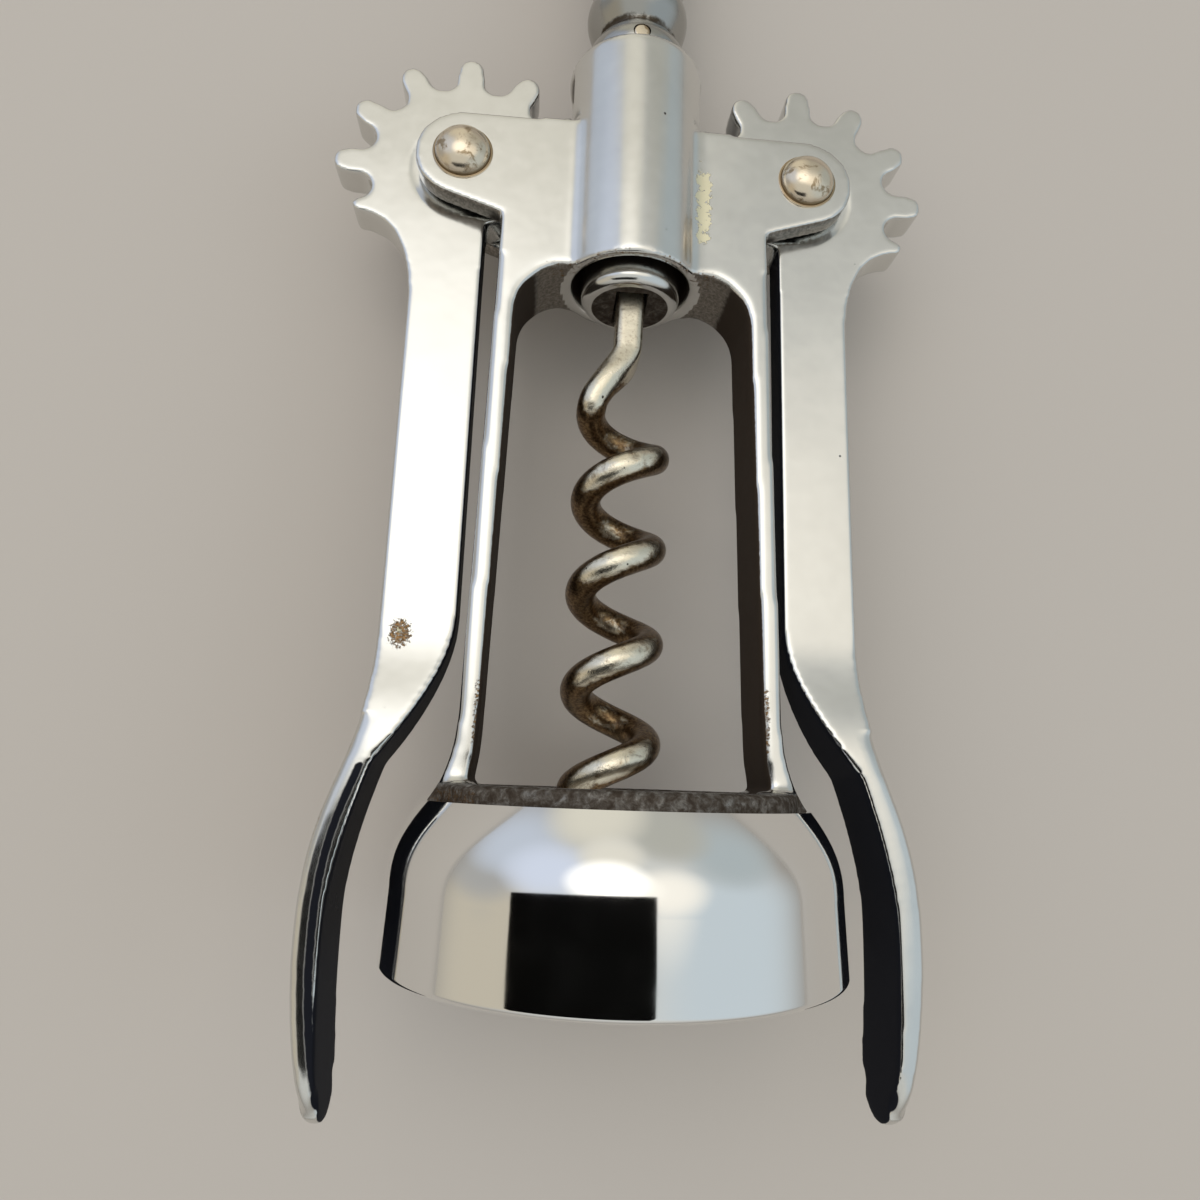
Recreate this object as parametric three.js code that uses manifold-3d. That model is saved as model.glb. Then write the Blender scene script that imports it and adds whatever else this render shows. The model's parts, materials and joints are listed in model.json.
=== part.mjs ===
// A wing corkscrew, lying on its back with its handle toward +Y and its front up.
// It is built along its own axis first: X to the right, Y from the bell's rim to the handle,
// Z out of the front. The whole group is then leaned until bell and handle touch the surface.
import * as THREE from "three";
import { mergeVertices } from "three/addons/utils/BufferGeometryUtils.js";
import Module from "manifold-3d";

const wasm = await Module();
wasm.setup();

// Driving sizes in millimetres, angles in degrees

// Gaps: between seated pieces, round pieces that slide or turn, and the overrun of every cut
const seatGap = 0.3;
const runningGap = 0.4;
const cutOverrun = 3;

// Bell
const bellRadius = 20.2;
const bellTaper = 0.25;
const bellWall = 2;
const bellHeight = 13.5;
const bellShoulderHeight = 5.5;
const bellShoulderWidth = 3.75;
const bellTopThickness = 2.2;
const bellTopWidth = 3.8;

// Frame casting
const frameDepth = 8.4;
const pivotOffset = 17.8;
const pivotHeight = 77.3;
const earRadius = 4.8;
const earCornerHeight = 70.8;
const earTopRise = 0.5;
const legTopInsideArm = 1.9;
const legFootInsideArm = 0.9;
const legThickness = 1.9;
const legFlareHeight = 8.2;
const legFlareWidth = 2.1;
const windowTop = 65.5;
const windowCornerRadius = 5;
const baseRingBeyondLeg = 0.9;
const baseRingHeight = 2;
const barrelRadius = 7.25;
const barrelTop = 91;
const barrelTopChamfer = 0.5;
const slotBridge = 1.3;

// Lever
const leverThickness = 3.6;
const gearTipRadius = 13.4;
const gearRootRadius = 9.7;
const toothTipRound = 1.3;
const toothValleyRound = 1.5;
const teethPerTurn = 12;
const teethOnGear = 7;
const rollingRadius = 11.84;
const lastToothRadius = 12.2;
const lastToothAngle = 206;
const lastToothRound = 0.7;
const notchDepth = 10;
const webAngle = -25;
const webDrop = 6.3;
const armBeyondBell = 2.3;
const armWidth = 7.1;
const armLength = 50;
const neckDrop = 10.8;
const neckInsideArm = 0.9;
const bladeReach = 90;
const bladeBulge = 4.4;
const bladeBulgeDrop = 24.5;
const bladeThickness = 2.5;
const bladeWidth = 8.4;
const bladeFlareLength = 15;
const bladeTipLength = 5;
const bladeTipInset = 2.3;
const bladeTipThickness = 1.2;
const hubRecessRadius = 6.4;
const hubRecessDepth = 0.3;

// Rivet
const rivetRadius = 2.1;
const rivetHeadRadius = 2.8;
const rivetHeadHeight = 1.7;

// Rack and spindle
const rackCrestRadius = 5.6;
const rackRootRadius = 4.1;
const rackTopLength = 3;
const rackTopRadius = 4.9;
const valleysBelowPivot = 1;
const valleysAbovePivot = 6;
const retainerBeadAbovePivot = 2.5;
const spindleRadius = 2.3;
const spindleHeadRadius = 5.1;
const spindleHeadLength = 7;
const spindleHeadRound = 1.3;
const spindleHeadDrop = 1.8;
const spindleSlotLength = 6;
const retainerRadius = 1.05;
const retainerGrooveDepth = 0.7;

// Worm
const wormRadius = 4.8;
const wormWire = 2.95;
const wormPitch = 9.35;
const wormTurns = 4.4;
const wormTip = 11;
const wormTipAngle = -224;
const wormPointLength = 4;
const wormShankWidth = 2.8;
const wormShankDepth = 3.6;
const wormShankChamferShare = 0.8;
const wormShankEmbed = 5;
const wormLeadLength = 6.8;
const wormLeadTurnShare = 0.12;
const wormPinRadius = 0.5;

// Handle
const travelAngle = 150;
const handleStandoff = 1.2;
const handleLength = 42;
const handleWidth = 40;
const handleThickness = 5;
const handleCorner = 9;
const handleBossRadius = 5.6;
const handleBossLength = 9;
const handleRim = 6;
const handleLipWidth = 9;
const handleLipHeight = 2.6;
const spindleEmbed = 7;
const handlePinRadius = 1.1;

// Smoothness: steps of round stretches
const roundSteps = 48;
const smallRoundSteps = 24;
const arcSteps = 6;
const toothSteps = 3;
const bladeSteps = 8;
const beadSteps = 6;
const wireSides = 8;
const wireStepsPerTurn = 22;

// Values that follow from the driving sizes
const radians = THREE.MathUtils.degToRad;
const rackPitch = (2 * Math.PI * rollingRadius) / teethPerTurn;
const rackTravel = rollingRadius * radians(travelAngle);
const bellMouthRadius = bellRadius - bellTaper - bellShoulderWidth - bellTopWidth;
const boreRadius = rackCrestRadius + runningGap;
const slotWidth = leverThickness + 2 * seatGap;
const slotRadius = gearTipRadius + runningGap;
const armOuterOffset = bellRadius + armBeyondBell;
const armInnerOffset = armOuterOffset - armWidth;
const armInner = pivotOffset - armInnerOffset;
const legTopOuter = armInnerOffset - legTopInsideArm;
const legFootOuter = armInnerOffset - legFootInsideArm;
const legInnerTop = legTopOuter - legThickness;
const legInnerFoot = legFootOuter - legThickness;
const baseRingBottom = bellHeight + seatGap;
const rivetHeadSeat = frameDepth / 2 + seatGap;
const spindleHeadBottom = windowTop - spindleHeadDrop;
const spindleHeadTop = spindleHeadBottom + spindleHeadLength;
const rackBottom = spindleHeadTop + seatGap;
const rackLastValley = pivotHeight + valleysAbovePivot * rackPitch;
const rackTop = Math.max(rackLastValley + rackTopLength, barrelTop + rackTravel + handleStandoff - seatGap);
const handleBottom = rackTop + seatGap;
const handleTop = handleBottom + handleLength;
const retainerHeight = pivotHeight + retainerBeadAbovePivot * rackPitch;

// Finishes
const finishes = {
  satinChrome: { color: 0xb9bab6, roughness: 0.32, metalness: 1 },
  mirrorChrome: { color: 0xd6d8d6, roughness: 0.08, metalness: 1 },
  wornChrome: { color: 0xc6c7c4, roughness: 0.38, metalness: 1 },
  tarnishedBrass: { color: 0xb09a76, roughness: 0.35, metalness: 1 },
  darkSteel: { color: 0x6d6c6a, roughness: 0.35, metalness: 1 },
  brownedSteel: { color: 0x7d7263, roughness: 0.4, metalness: 1 },
};

// Solids from geometries, and meshes from solids

function solid(geometry) {
  const bare = new THREE.BufferGeometry();
  bare.setAttribute("position", geometry.getAttribute("position"));
  if (geometry.index) bare.setIndex(geometry.index);
  const merged = mergeVertices(bare);
  return new wasm.Manifold(
    new wasm.Mesh({
      numProp: 3,
      vertProperties: merged.attributes.position.array,
      triVerts: new Uint32Array(merged.index.array),
    }),
  );
}

function meshOf(name, body, finish) {
  const made = body.getMesh();
  const geometry = new THREE.BufferGeometry();
  geometry.setAttribute("position", new THREE.BufferAttribute(new Float32Array(made.vertProperties), 3));
  geometry.setIndex(new THREE.BufferAttribute(new Uint32Array(made.triVerts), 1));
  geometry.computeVertexNormals();
  const mesh = new THREE.Mesh(geometry, new THREE.MeshStandardMaterial(finishes[finish]));
  mesh.name = name;
  return mesh;
}

// An outline in the X-Y plane, extruded from z = -depth / 2 to depth / 2
function plate(points, depth, holes = []) {
  const shape = new THREE.Shape(points);
  shape.holes = holes.map((hole) => new THREE.Path(hole));
  const geometry = new THREE.ExtrudeGeometry(shape, { depth, bevelEnabled: false });
  geometry.translate(0, 0, -depth / 2);
  return solid(geometry);
}

// A profile of (radius, height) points turned round the Y axis
function turned(points, steps = roundSteps) {
  const half = Math.PI / steps;
  return solid(new THREE.LatheGeometry(points, steps, half, 2 * Math.PI));
}

// A plain round rod along Y
function rod(radius, bottom, top, steps = smallRoundSteps) {
  const profile = [
    new THREE.Vector2(0, bottom),
    new THREE.Vector2(radius, bottom),
    new THREE.Vector2(radius, top),
    new THREE.Vector2(0, top),
  ];
  return turned(profile, steps);
}

// A plain round rod along Z, centred on (x, y)
function crossRod(radius, x, y, back, front) {
  const geometry = new THREE.CylinderGeometry(radius, radius, front - back, smallRoundSteps);
  geometry.rotateX(Math.PI / 2);
  geometry.translate(x, y, (front + back) / 2);
  return solid(geometry);
}

function block(width, height, depth, x, y, z) {
  const geometry = new THREE.BoxGeometry(width, height, depth);
  geometry.translate(x, y, z);
  return solid(geometry);
}

function mirrored(points) {
  return points.map((p) => new THREE.Vector2(-p.x, p.y));
}

// The bell: a cup with a flat rim, a rounded shoulder and a mouth in its top
function bell() {
  const shoulderBase = bellHeight - bellShoulderHeight;
  const shoulderCentre = bellRadius - bellTaper - bellShoulderWidth;
  const innerHeight = bellShoulderHeight - bellTopThickness;
  const innerWidth = bellShoulderWidth - bellWall;
  const profile = new THREE.Path();
  profile.moveTo(bellRadius - bellWall, 0);
  profile.lineTo(bellRadius, 0);
  profile.absellipse(shoulderCentre, shoulderBase, bellShoulderWidth, bellShoulderHeight, 0, Math.PI / 2);
  profile.lineTo(bellMouthRadius, bellHeight);
  profile.lineTo(bellMouthRadius, bellHeight - bellTopThickness);
  profile.absellipse(shoulderCentre, shoulderBase, innerWidth, innerHeight, Math.PI / 2, 0, true);
  profile.lineTo(bellRadius - bellWall, 0);
  return turned(profile.getPoints(arcSteps / 2));
}

// Outline of the frame casting's right half, from the top of the crossbar round to the window
function frameHalf() {
  const corner = new THREE.Vector2(legTopOuter, earCornerHeight);
  const toCorner = corner.clone().sub(new THREE.Vector2(pivotOffset, pivotHeight));
  const tangent = toCorner.angle() + Math.acos(earRadius / toCorner.length());
  const footBottom = baseRingBottom;
  const flareTop = footBottom + legFlareHeight;
  const outer = new THREE.Path();
  outer.moveTo(0, pivotHeight + earRadius + earTopRise);
  outer.absarc(pivotOffset, pivotHeight, earRadius, Math.PI / 2, tangent, true);
  outer.lineTo(legTopOuter, earCornerHeight);
  outer.lineTo(legFootOuter, flareTop);
  outer.quadraticCurveTo(legFootOuter, footBottom + legFlareHeight / 3, legFootOuter + legFlareWidth, footBottom);
  outer.lineTo(legInnerFoot + legFlareWidth / 2, footBottom);
  outer.quadraticCurveTo(legInnerFoot, footBottom + legFlareHeight / 3, legInnerFoot, flareTop);
  outer.lineTo(legInnerTop, windowTop - windowCornerRadius);
  const cornerX = legInnerTop - windowCornerRadius;
  outer.absarc(cornerX, windowTop - windowCornerRadius, windowCornerRadius, 0, Math.PI / 2);
  outer.lineTo(0, windowTop);
  return outer.getPoints(arcSteps);
}

// The frame: ears and crossbar, barrel, legs and base ring in one casting
function frame() {
  const half = frameHalf();
  const whole = half.slice(1, -1).concat(mirrored(half.slice(1, -1)).reverse());
  let body = plate(whole, frameDepth);
  const barrel = [
    new THREE.Vector2(0, windowTop),
    new THREE.Vector2(barrelRadius, windowTop),
    new THREE.Vector2(barrelRadius, barrelTop - barrelTopChamfer),
    new THREE.Vector2(barrelRadius - barrelTopChamfer, barrelTop),
    new THREE.Vector2(0, barrelTop),
  ];
  body = body.add(turned(barrel));
  const ringOuter = legFootOuter + baseRingBeyondLeg;
  const ringTop = baseRingBottom + baseRingHeight;
  body = body.add(rod(ringOuter, baseRingBottom, ringTop, roundSteps));
  body = body.subtract(rod(bellMouthRadius, baseRingBottom - cutOverrun, ringTop + cutOverrun, roundSteps));
  body = body.subtract(rod(boreRadius, windowTop - cutOverrun, barrelTop + cutOverrun, roundSteps));
  const slotTop = barrelTop - slotBridge;
  for (const side of [-1, 1]) {
    const pivotX = side * pivotOffset;
    body = body.subtract(crossSlot(pivotX));
    const slotHeight = slotTop - pivotHeight;
    body = body.subtract(
      block(barrelRadius, slotHeight, slotWidth, side * barrelRadius, pivotHeight + slotHeight / 2, 0),
    );
    const hole = rivetRadius + seatGap;
    body = body.subtract(crossRod(hole, pivotX, pivotHeight, -frameDepth, frameDepth));
  }
  return body;
}

// The round slot in which a lever's gear turns
function crossSlot(pivotX) {
  const geometry = new THREE.CylinderGeometry(slotRadius, slotRadius, slotWidth, roundSteps);
  geometry.rotateX(Math.PI / 2);
  geometry.translate(pivotX, pivotHeight, 0);
  return solid(geometry);
}

// A lever's outline about its pivot: u toward the rack, v toward the handle
function leverOutline() {
  const toothAngle = 360 / teethPerTurn;
  const tipCentre = gearTipRadius - toothTipRound;
  const valleyCentre = gearRootRadius + toothValleyRound;
  const outline = new THREE.Path();
  const webEnd = radians(webAngle);
  outline.moveTo(armInner, -webDrop);
  outline.lineTo(gearRootRadius * Math.cos(webEnd), gearRootRadius * Math.sin(webEnd));
  for (let tooth = 0; tooth < teethOnGear; tooth++) {
    const tip = radians(tooth * toothAngle);
    const valley = radians((tooth + 1 / 2) * toothAngle);
    const quarter = Math.PI / 2;
    outline.absarc(
      tipCentre * Math.cos(tip),
      tipCentre * Math.sin(tip),
      toothTipRound,
      tip - quarter,
      tip + quarter,
    );
    outline.absarc(
      valleyCentre * Math.cos(valley),
      valleyCentre * Math.sin(valley),
      toothValleyRound,
      valley - quarter,
      valley + quarter,
      true,
    );
  }
  const last = radians(lastToothAngle);
  const lastCentre = lastToothRadius - lastToothRound;
  const armOuter = armInner - armWidth;
  outline.absarc(
    lastCentre * Math.cos(last),
    lastCentre * Math.sin(last),
    lastToothRound,
    last - Math.PI / 2,
    last + Math.PI / 3,
  );
  outline.quadraticCurveTo(armOuter, -webDrop, armOuter, -webDrop - notchDepth);
  const gear = outline.getPoints(toothSteps);
  return gear.concat(bladeOutline(armOuter));
}

// The arm's lower end, from its outer edge round the blade's tip to its inner edge
function bladeOutline(armOuter) {
  const widest = armOuter - bladeBulge;
  const widestLevel = -armLength - bladeBulgeDrop;
  const swingLevel = -armLength - bladeBulgeDrop / 2;
  const pullLevel = (widestLevel - bladeReach) / 2;
  const tip = widest + bladeTipInset;
  const inner = widest + bladeThickness;
  const blade = new THREE.Path();
  blade.moveTo(armOuter, -armLength);
  blade.bezierCurveTo(armOuter, swingLevel, widest, swingLevel, widest, widestLevel);
  blade.quadraticCurveTo(widest, pullLevel, tip, -bladeReach);
  blade.lineTo(tip + bladeTipThickness, -bladeReach);
  blade.quadraticCurveTo(inner, pullLevel, inner, widestLevel);
  blade.quadraticCurveTo(inner, widestLevel + neckDrop / 2, armOuter + neckInsideArm, -armLength - neckDrop);
  blade.quadraticCurveTo(armInner, -armLength - neckDrop / 4, armInner, -armLength + neckDrop / 4);
  return blade.getPoints(bladeSteps);
}

// How wide the lever is across Z at each height: the arm's thickness, the blade's flare, its round tip
function leverFront() {
  const armHalf = leverThickness / 2;
  const bladeHalf = bladeWidth / 2;
  const flareTop = -armLength + bladeFlareLength / 3;
  const flareBottom = flareTop - bladeFlareLength;
  const flareMiddle = (flareTop + flareBottom) / 2;
  const path = new THREE.Path();
  path.moveTo(armHalf, gearTipRadius + cutOverrun);
  path.lineTo(armHalf, flareTop);
  path.bezierCurveTo(armHalf, flareMiddle, bladeHalf, flareMiddle, bladeHalf, flareBottom);
  path.lineTo(bladeHalf, -bladeReach + bladeTipLength);
  path.absellipse(0, -bladeReach + bladeTipLength, bladeHalf, bladeTipLength, 0, -Math.PI / 2, true);
  const half = path.getPoints(arcSteps);
  return half.concat(mirrored(half.slice(0, -1)).reverse());
}

// A lever: gear, hub, arm and blade; side is -1 on the left and 1 on the right
function lever(side) {
  const outline = leverOutline().map(
    (p) => new THREE.Vector2(side * (pivotOffset - p.x), pivotHeight + p.y),
  );
  const sideways = new THREE.ExtrudeGeometry(new THREE.Shape(leverFront()), {
    depth: 2 * (pivotOffset + gearTipRadius) + cutOverrun,
    bevelEnabled: false,
  });
  sideways.rotateY(Math.PI / 2);
  sideways.translate(-pivotOffset - gearTipRadius, pivotHeight, 0);
  let body = plate(outline, bladeWidth).intersect(solid(sideways));
  const pivotX = side * pivotOffset;
  body = body.subtract(crossRod(rivetRadius + runningGap, pivotX, pivotHeight, -leverThickness, leverThickness));
  const face = leverThickness / 2;
  for (const front of [-1, 1]) {
    const low = Math.min(front * (face - hubRecessDepth), front * (face + hubRecessDepth));
    body = body.subtract(
      crossRod(hubRecessRadius, pivotX, pivotHeight, low, low + 2 * hubRecessDepth),
    );
  }
  return body;
}

// A rivet along Z with a domed head at each end
function rivet(side) {
  const half = new THREE.Path();
  half.moveTo(rivetRadius, 0);
  half.lineTo(rivetRadius, rivetHeadSeat);
  half.lineTo(rivetHeadRadius, rivetHeadSeat);
  half.absellipse(0, rivetHeadSeat, rivetHeadRadius, rivetHeadHeight, 0, Math.PI / 2);
  const upper = half.getPoints(arcSteps / 2).slice(1);
  const lower = upper.map((p) => new THREE.Vector2(p.x, -p.y)).reverse();
  const profile = lower.concat(upper);
  const geometry = new THREE.LatheGeometry(profile, smallRoundSteps);
  geometry.rotateX(Math.PI / 2);
  geometry.translate(side * pivotOffset, pivotHeight, 0);
  return solid(geometry);
}

// The rack's radius at a height: rounded beads with a valley level with the pivots
function beadRadius(height) {
  const wave = (1 - Math.cos((2 * Math.PI * (height - pivotHeight)) / rackPitch)) / 2;
  return rackRootRadius + (rackCrestRadius - rackRootRadius) * Math.sqrt(wave);
}

// The rack: a sleeve with ring-shaped teeth that slides in the barrel
function rack() {
  const hole = spindleRadius + runningGap;
  const firstValley = pivotHeight - valleysBelowPivot * rackPitch;
  const profile = [
    new THREE.Vector2(hole, rackBottom),
    new THREE.Vector2(spindleHeadRadius, rackBottom),
  ];
  const count = (valleysBelowPivot + valleysAbovePivot) * beadSteps;
  for (let step = 0; step <= count; step++) {
    const height = firstValley + (rackPitch * step) / beadSteps;
    if (height > rackBottom) profile.push(new THREE.Vector2(beadRadius(height), height));
  }
  profile.push(new THREE.Vector2(rackTopRadius, rackLastValley + (rackTopRadius - rackRootRadius)));
  profile.push(new THREE.Vector2(rackTopRadius, rackTop));
  profile.push(new THREE.Vector2(hole, rackTop));
  profile.push(profile[0].clone());
  const hollow = turned(profile, roundSteps / 2);
  const retainerHole = retainerRadius + seatGap / 2;
  return hollow.subtract(crossRod(retainerHole, 0, retainerHeight, 0, rackCrestRadius + cutOverrun));
}

// The pin in the rack's front whose inner end runs in the spindle's groove
function rackRetainer() {
  const innerEnd = spindleRadius - retainerGrooveDepth + runningGap;
  return crossRod(retainerRadius - seatGap / 2, 0, retainerHeight, innerEnd, rackCrestRadius - seatGap);
}

// The spindle: a rod with a round head that holds the worm's shank
function spindle() {
  const grooveBottom = retainerHeight - retainerRadius - runningGap;
  const grooveTop = retainerHeight + retainerRadius + runningGap;
  const grooveRadius = spindleRadius - retainerGrooveDepth;
  const profile = new THREE.Path();
  profile.moveTo(0, spindleHeadBottom);
  profile.lineTo(spindleHeadRadius - spindleHeadRound, spindleHeadBottom);
  profile.absarc(
    spindleHeadRadius - spindleHeadRound,
    spindleHeadBottom + spindleHeadRound,
    spindleHeadRound,
    -Math.PI / 2,
    0,
  );
  profile.lineTo(spindleHeadRadius, spindleHeadTop);
  profile.lineTo(spindleRadius, spindleHeadTop);
  profile.lineTo(spindleRadius, grooveBottom);
  profile.lineTo(grooveRadius, grooveBottom);
  profile.lineTo(grooveRadius, grooveTop);
  profile.lineTo(spindleRadius, grooveTop);
  profile.lineTo(spindleRadius, handleBottom + spindleEmbed);
  profile.lineTo(0, handleBottom + spindleEmbed);
  const body = turned(profile.getPoints(arcSteps / 2), smallRoundSteps);
  const socketWidth = wormShankWidth + 2 * seatGap;
  const socketLength = wormShankEmbed + seatGap;
  const socket = block(
    socketWidth,
    socketLength + cutOverrun,
    spindleSlotLength,
    0,
    spindleHeadBottom + (socketLength - cutOverrun) / 2,
    0,
  );
  const pinHole = crossRod(
    wormPinRadius + seatGap,
    0,
    spindleHeadBottom + wormShankEmbed / 2,
    -spindleHeadRadius - cutOverrun,
    spindleHeadRadius + cutOverrun,
  );
  const handlePinHole = crossRod(
    handlePinRadius + seatGap,
    0,
    handleBottom + spindleEmbed / 2,
    -spindleRadius - cutOverrun,
    spindleRadius + cutOverrun,
  );
  return body.subtract(socket).subtract(pinHole).subtract(handlePinHole);
}

// The pin through the spindle's head and the worm's shank
function wormPin() {
  const reach = spindleHeadRadius - seatGap;
  return crossRod(wormPinRadius, 0, spindleHeadBottom + wormShankEmbed / 2, -reach, reach);
}

// The worm: a flattened shank on the axis that bends out into a right-handed helix with a point
function worm() {
  const centreRadius = wormRadius - wormWire / 2;
  const helixTop = wormTip + wormTurns * wormPitch;
  const leadTop = helixTop + wormLeadLength;
  const shankTop = spindleHeadBottom + wormShankEmbed;
  const turn = 2 * Math.PI;
  const startAngle = radians(wormTipAngle);
  const smooth = (share) => share * share * (3 - 2 * share);
  const centre = (height) => {
    const intoLead = Math.max(height - helixTop, 0);
    const climbed = height - wormTip - intoLead + wormLeadTurnShare * intoLead;
    const angle = startAngle + (turn * climbed) / wormPitch;
    const lead = Math.min(Math.max((leadTop - height) / wormLeadLength, 0), 1);
    return { angle, radius: centreRadius * smooth(lead) };
  };
  const heights = [];
  const helixCount = Math.round(((leadTop - wormTip) / wormPitch) * wireStepsPerTurn);
  for (let step = 0; step <= helixCount; step++) {
    heights.push(wormTip + ((leadTop - wormTip) * step) / helixCount);
  }
  heights.push(shankTop);
  const pointAt = (height) => {
    const { angle, radius } = centre(height);
    return new THREE.Vector3(radius * Math.sin(angle), height, radius * Math.cos(angle));
  };
  const probe = wormPitch / wireStepsPerTurn / 4;
  const endAngle = centre(leadTop).angle;
  const rings = heights.map((height) => {
    const squareShare = smooth(Math.min(Math.max((height - helixTop) / wormLeadLength, 0), 1));
    const tangent = pointAt(height + probe).sub(pointAt(height - probe)).normalize();
    const angle = Math.min(centre(height).angle, endAngle);
    const radial = new THREE.Vector3(Math.sin(angle), 0, Math.cos(angle));
    const front = new THREE.Vector3(0, 0, 1);
    const guide = radial.lerp(front, squareShare);
    const across = new THREE.Vector3().crossVectors(tangent, guide).normalize();
    const out = new THREE.Vector3().crossVectors(across, tangent).normalize();
    const taper = Math.min((height - wormTip) / wormPointLength, 1);
    const wire = Math.max(Math.sqrt(taper), 1 / wireSides) * (wormWire / 2);
    const middle = pointAt(height);
    return Array.from({ length: wireSides }, (_, side) => {
      const around = ((side + 1 / 2) / wireSides) * turn;
      const roundX = wire * Math.cos(around);
      const roundY = wire * Math.sin(around);
      const squareX = (wormShankDepth / 2) * Math.sign(Math.cos(around)) * squareCorner(around);
      const squareY = (wormShankWidth / 2) * Math.sign(Math.sin(around)) * squareCorner(Math.PI / 2 - around);
      const u = THREE.MathUtils.lerp(roundX, squareX, squareShare);
      const v = THREE.MathUtils.lerp(roundY, squareY, squareShare);
      return middle.clone().addScaledVector(out, u).addScaledVector(across, v);
    });
  });
  const pinHole = crossRod(
    wormPinRadius + seatGap,
    0,
    spindleHeadBottom + wormShankEmbed / 2,
    -wormShankDepth,
    wormShankDepth,
  );
  return solid(sweep(rings)).subtract(pinHole);
}

// How far a point of an eight-sided section lies out along one axis of the flat section it turns into
function squareCorner(around) {
  return Math.abs(Math.cos(around)) > Math.SQRT1_2 ? 1 : wormShankChamferShare;
}

// Rings of points joined into one closed tube
function sweep(rings) {
  const sides = rings[0].length;
  const positions = [];
  for (const ring of rings) for (const p of ring) positions.push(p.x, p.y, p.z);
  const first = positions.length / 3;
  for (const ring of [rings[0], rings[rings.length - 1]]) {
    const middle = ring.reduce((sum, p) => sum.add(p), new THREE.Vector3()).divideScalar(sides);
    positions.push(middle.x, middle.y, middle.z);
  }
  const faces = [];
  for (let ring = 0; ring + 1 < rings.length; ring++) {
    for (let side = 0; side < sides; side++) {
      const a = ring * sides + side;
      const b = ring * sides + ((side + 1) % sides);
      faces.push(a, b, a + sides, b, b + sides, a + sides);
    }
  }
  const lastRing = (rings.length - 1) * sides;
  for (let side = 0; side < sides; side++) {
    const next = (side + 1) % sides;
    faces.push(first, next, side);
    faces.push(first + 1, lastRing + side, lastRing + next);
  }
  const geometry = new THREE.BufferGeometry();
  geometry.setAttribute("position", new THREE.Float32BufferAttribute(positions, 3));
  geometry.setIndex(faces);
  return geometry;
}

// The handle: a round boss that widens into a flat bow with a cap-lifting opening
function handle() {
  const half = handleWidth / 2;
  const bowBottom = handleBottom + handleBossLength;
  const outer = new THREE.Path();
  outer.moveTo(handleBossRadius, handleBottom + handleBossLength / 2);
  outer.quadraticCurveTo(handleBossRadius, bowBottom, half - handleCorner / 2, bowBottom + handleCorner / 2);
  outer.quadraticCurveTo(half, bowBottom + handleCorner, half, bowBottom + 2 * handleCorner);
  outer.lineTo(half - handleRim / 4, handleTop - handleCorner);
  outer.quadraticCurveTo(half - handleRim / 4, handleTop, half - handleCorner, handleTop);
  const right = outer.getPoints(arcSteps);
  const outline = right.concat(mirrored(right).reverse());
  const holeHalf = half - handleRim;
  const holeBottom = bowBottom + handleRim;
  const holeTop = handleTop - handleRim;
  const hole = new THREE.Path();
  hole.moveTo(handleLipWidth / 2, holeBottom + handleLipHeight);
  hole.lineTo(handleLipWidth / 2, holeBottom);
  hole.quadraticCurveTo(holeHalf, holeBottom, holeHalf, holeBottom + handleCorner);
  hole.lineTo(holeHalf - handleRim / 4, holeTop - handleCorner / 2);
  hole.quadraticCurveTo(holeHalf - handleRim / 4, holeTop, holeHalf - handleCorner, holeTop);
  const rightHole = hole.getPoints(arcSteps);
  const opening = rightHole.concat(mirrored(rightHole).reverse());
  let body = plate(outline, handleThickness, [opening]);
  body = body.add(rod(handleBossRadius, handleBottom, bowBottom));
  const spindleHole = spindleRadius + seatGap;
  body = body.subtract(rod(spindleHole, handleBottom - cutOverrun, handleBottom + spindleEmbed + seatGap));
  const pinHole = handlePinRadius + seatGap;
  return body.subtract(
    crossRod(
      pinHole,
      0,
      handleBottom + spindleEmbed / 2,
      -handleBossRadius - cutOverrun,
      handleBossRadius + cutOverrun,
    ),
  );
}

// The pin through the handle's boss and the spindle
function handlePin() {
  const reach = handleBossRadius - seatGap;
  return crossRod(handlePinRadius, 0, handleBottom + spindleEmbed / 2, -reach, reach);
}

// How far the axis leans when the bell's side and the handle's end lie on the surface
function lyingLean() {
  const shoulderBase = bellHeight - bellShoulderHeight;
  const drop = bellRadius - bellTaper - handleThickness / 2;
  return Math.atan2(drop, handleTop - shoulderBase);
}

const corkscrew = new THREE.Group();
corkscrew.add(meshOf("frame", frame(), "satinChrome"));
corkscrew.add(meshOf("bell", bell(), "mirrorChrome"));
corkscrew.add(meshOf("left_lever", lever(-1), "satinChrome"));
corkscrew.add(meshOf("right_lever", lever(1), "satinChrome"));
corkscrew.add(meshOf("left_rivet", rivet(-1), "tarnishedBrass"));
corkscrew.add(meshOf("right_rivet", rivet(1), "tarnishedBrass"));
corkscrew.add(meshOf("rack", rack(), "darkSteel"));
corkscrew.add(meshOf("rack_retainer", rackRetainer(), "tarnishedBrass"));
corkscrew.add(meshOf("spindle", spindle(), "wornChrome"));
corkscrew.add(meshOf("worm_pin", wormPin(), "brownedSteel"));
corkscrew.add(meshOf("worm", worm(), "brownedSteel"));
corkscrew.add(meshOf("handle", handle(), "satinChrome"));
corkscrew.add(meshOf("handle_pin", handlePin(), "tarnishedBrass"));
corkscrew.rotation.x = -lyingLean();

// The origin is the middle of the part's footprint
const part = new THREE.Group();
part.add(corkscrew);
const box = new THREE.Box3().setFromObject(part, true);
const middle = box.getCenter(new THREE.Vector3());
corkscrew.position.set(-middle.x, -middle.y, -box.min.z);

export default part;
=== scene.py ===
"""A wing corkscrew of plated castings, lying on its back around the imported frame."""
import bisect
import json
import math

import bmesh
import bpy
from mathutils import Matrix, Vector


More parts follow.
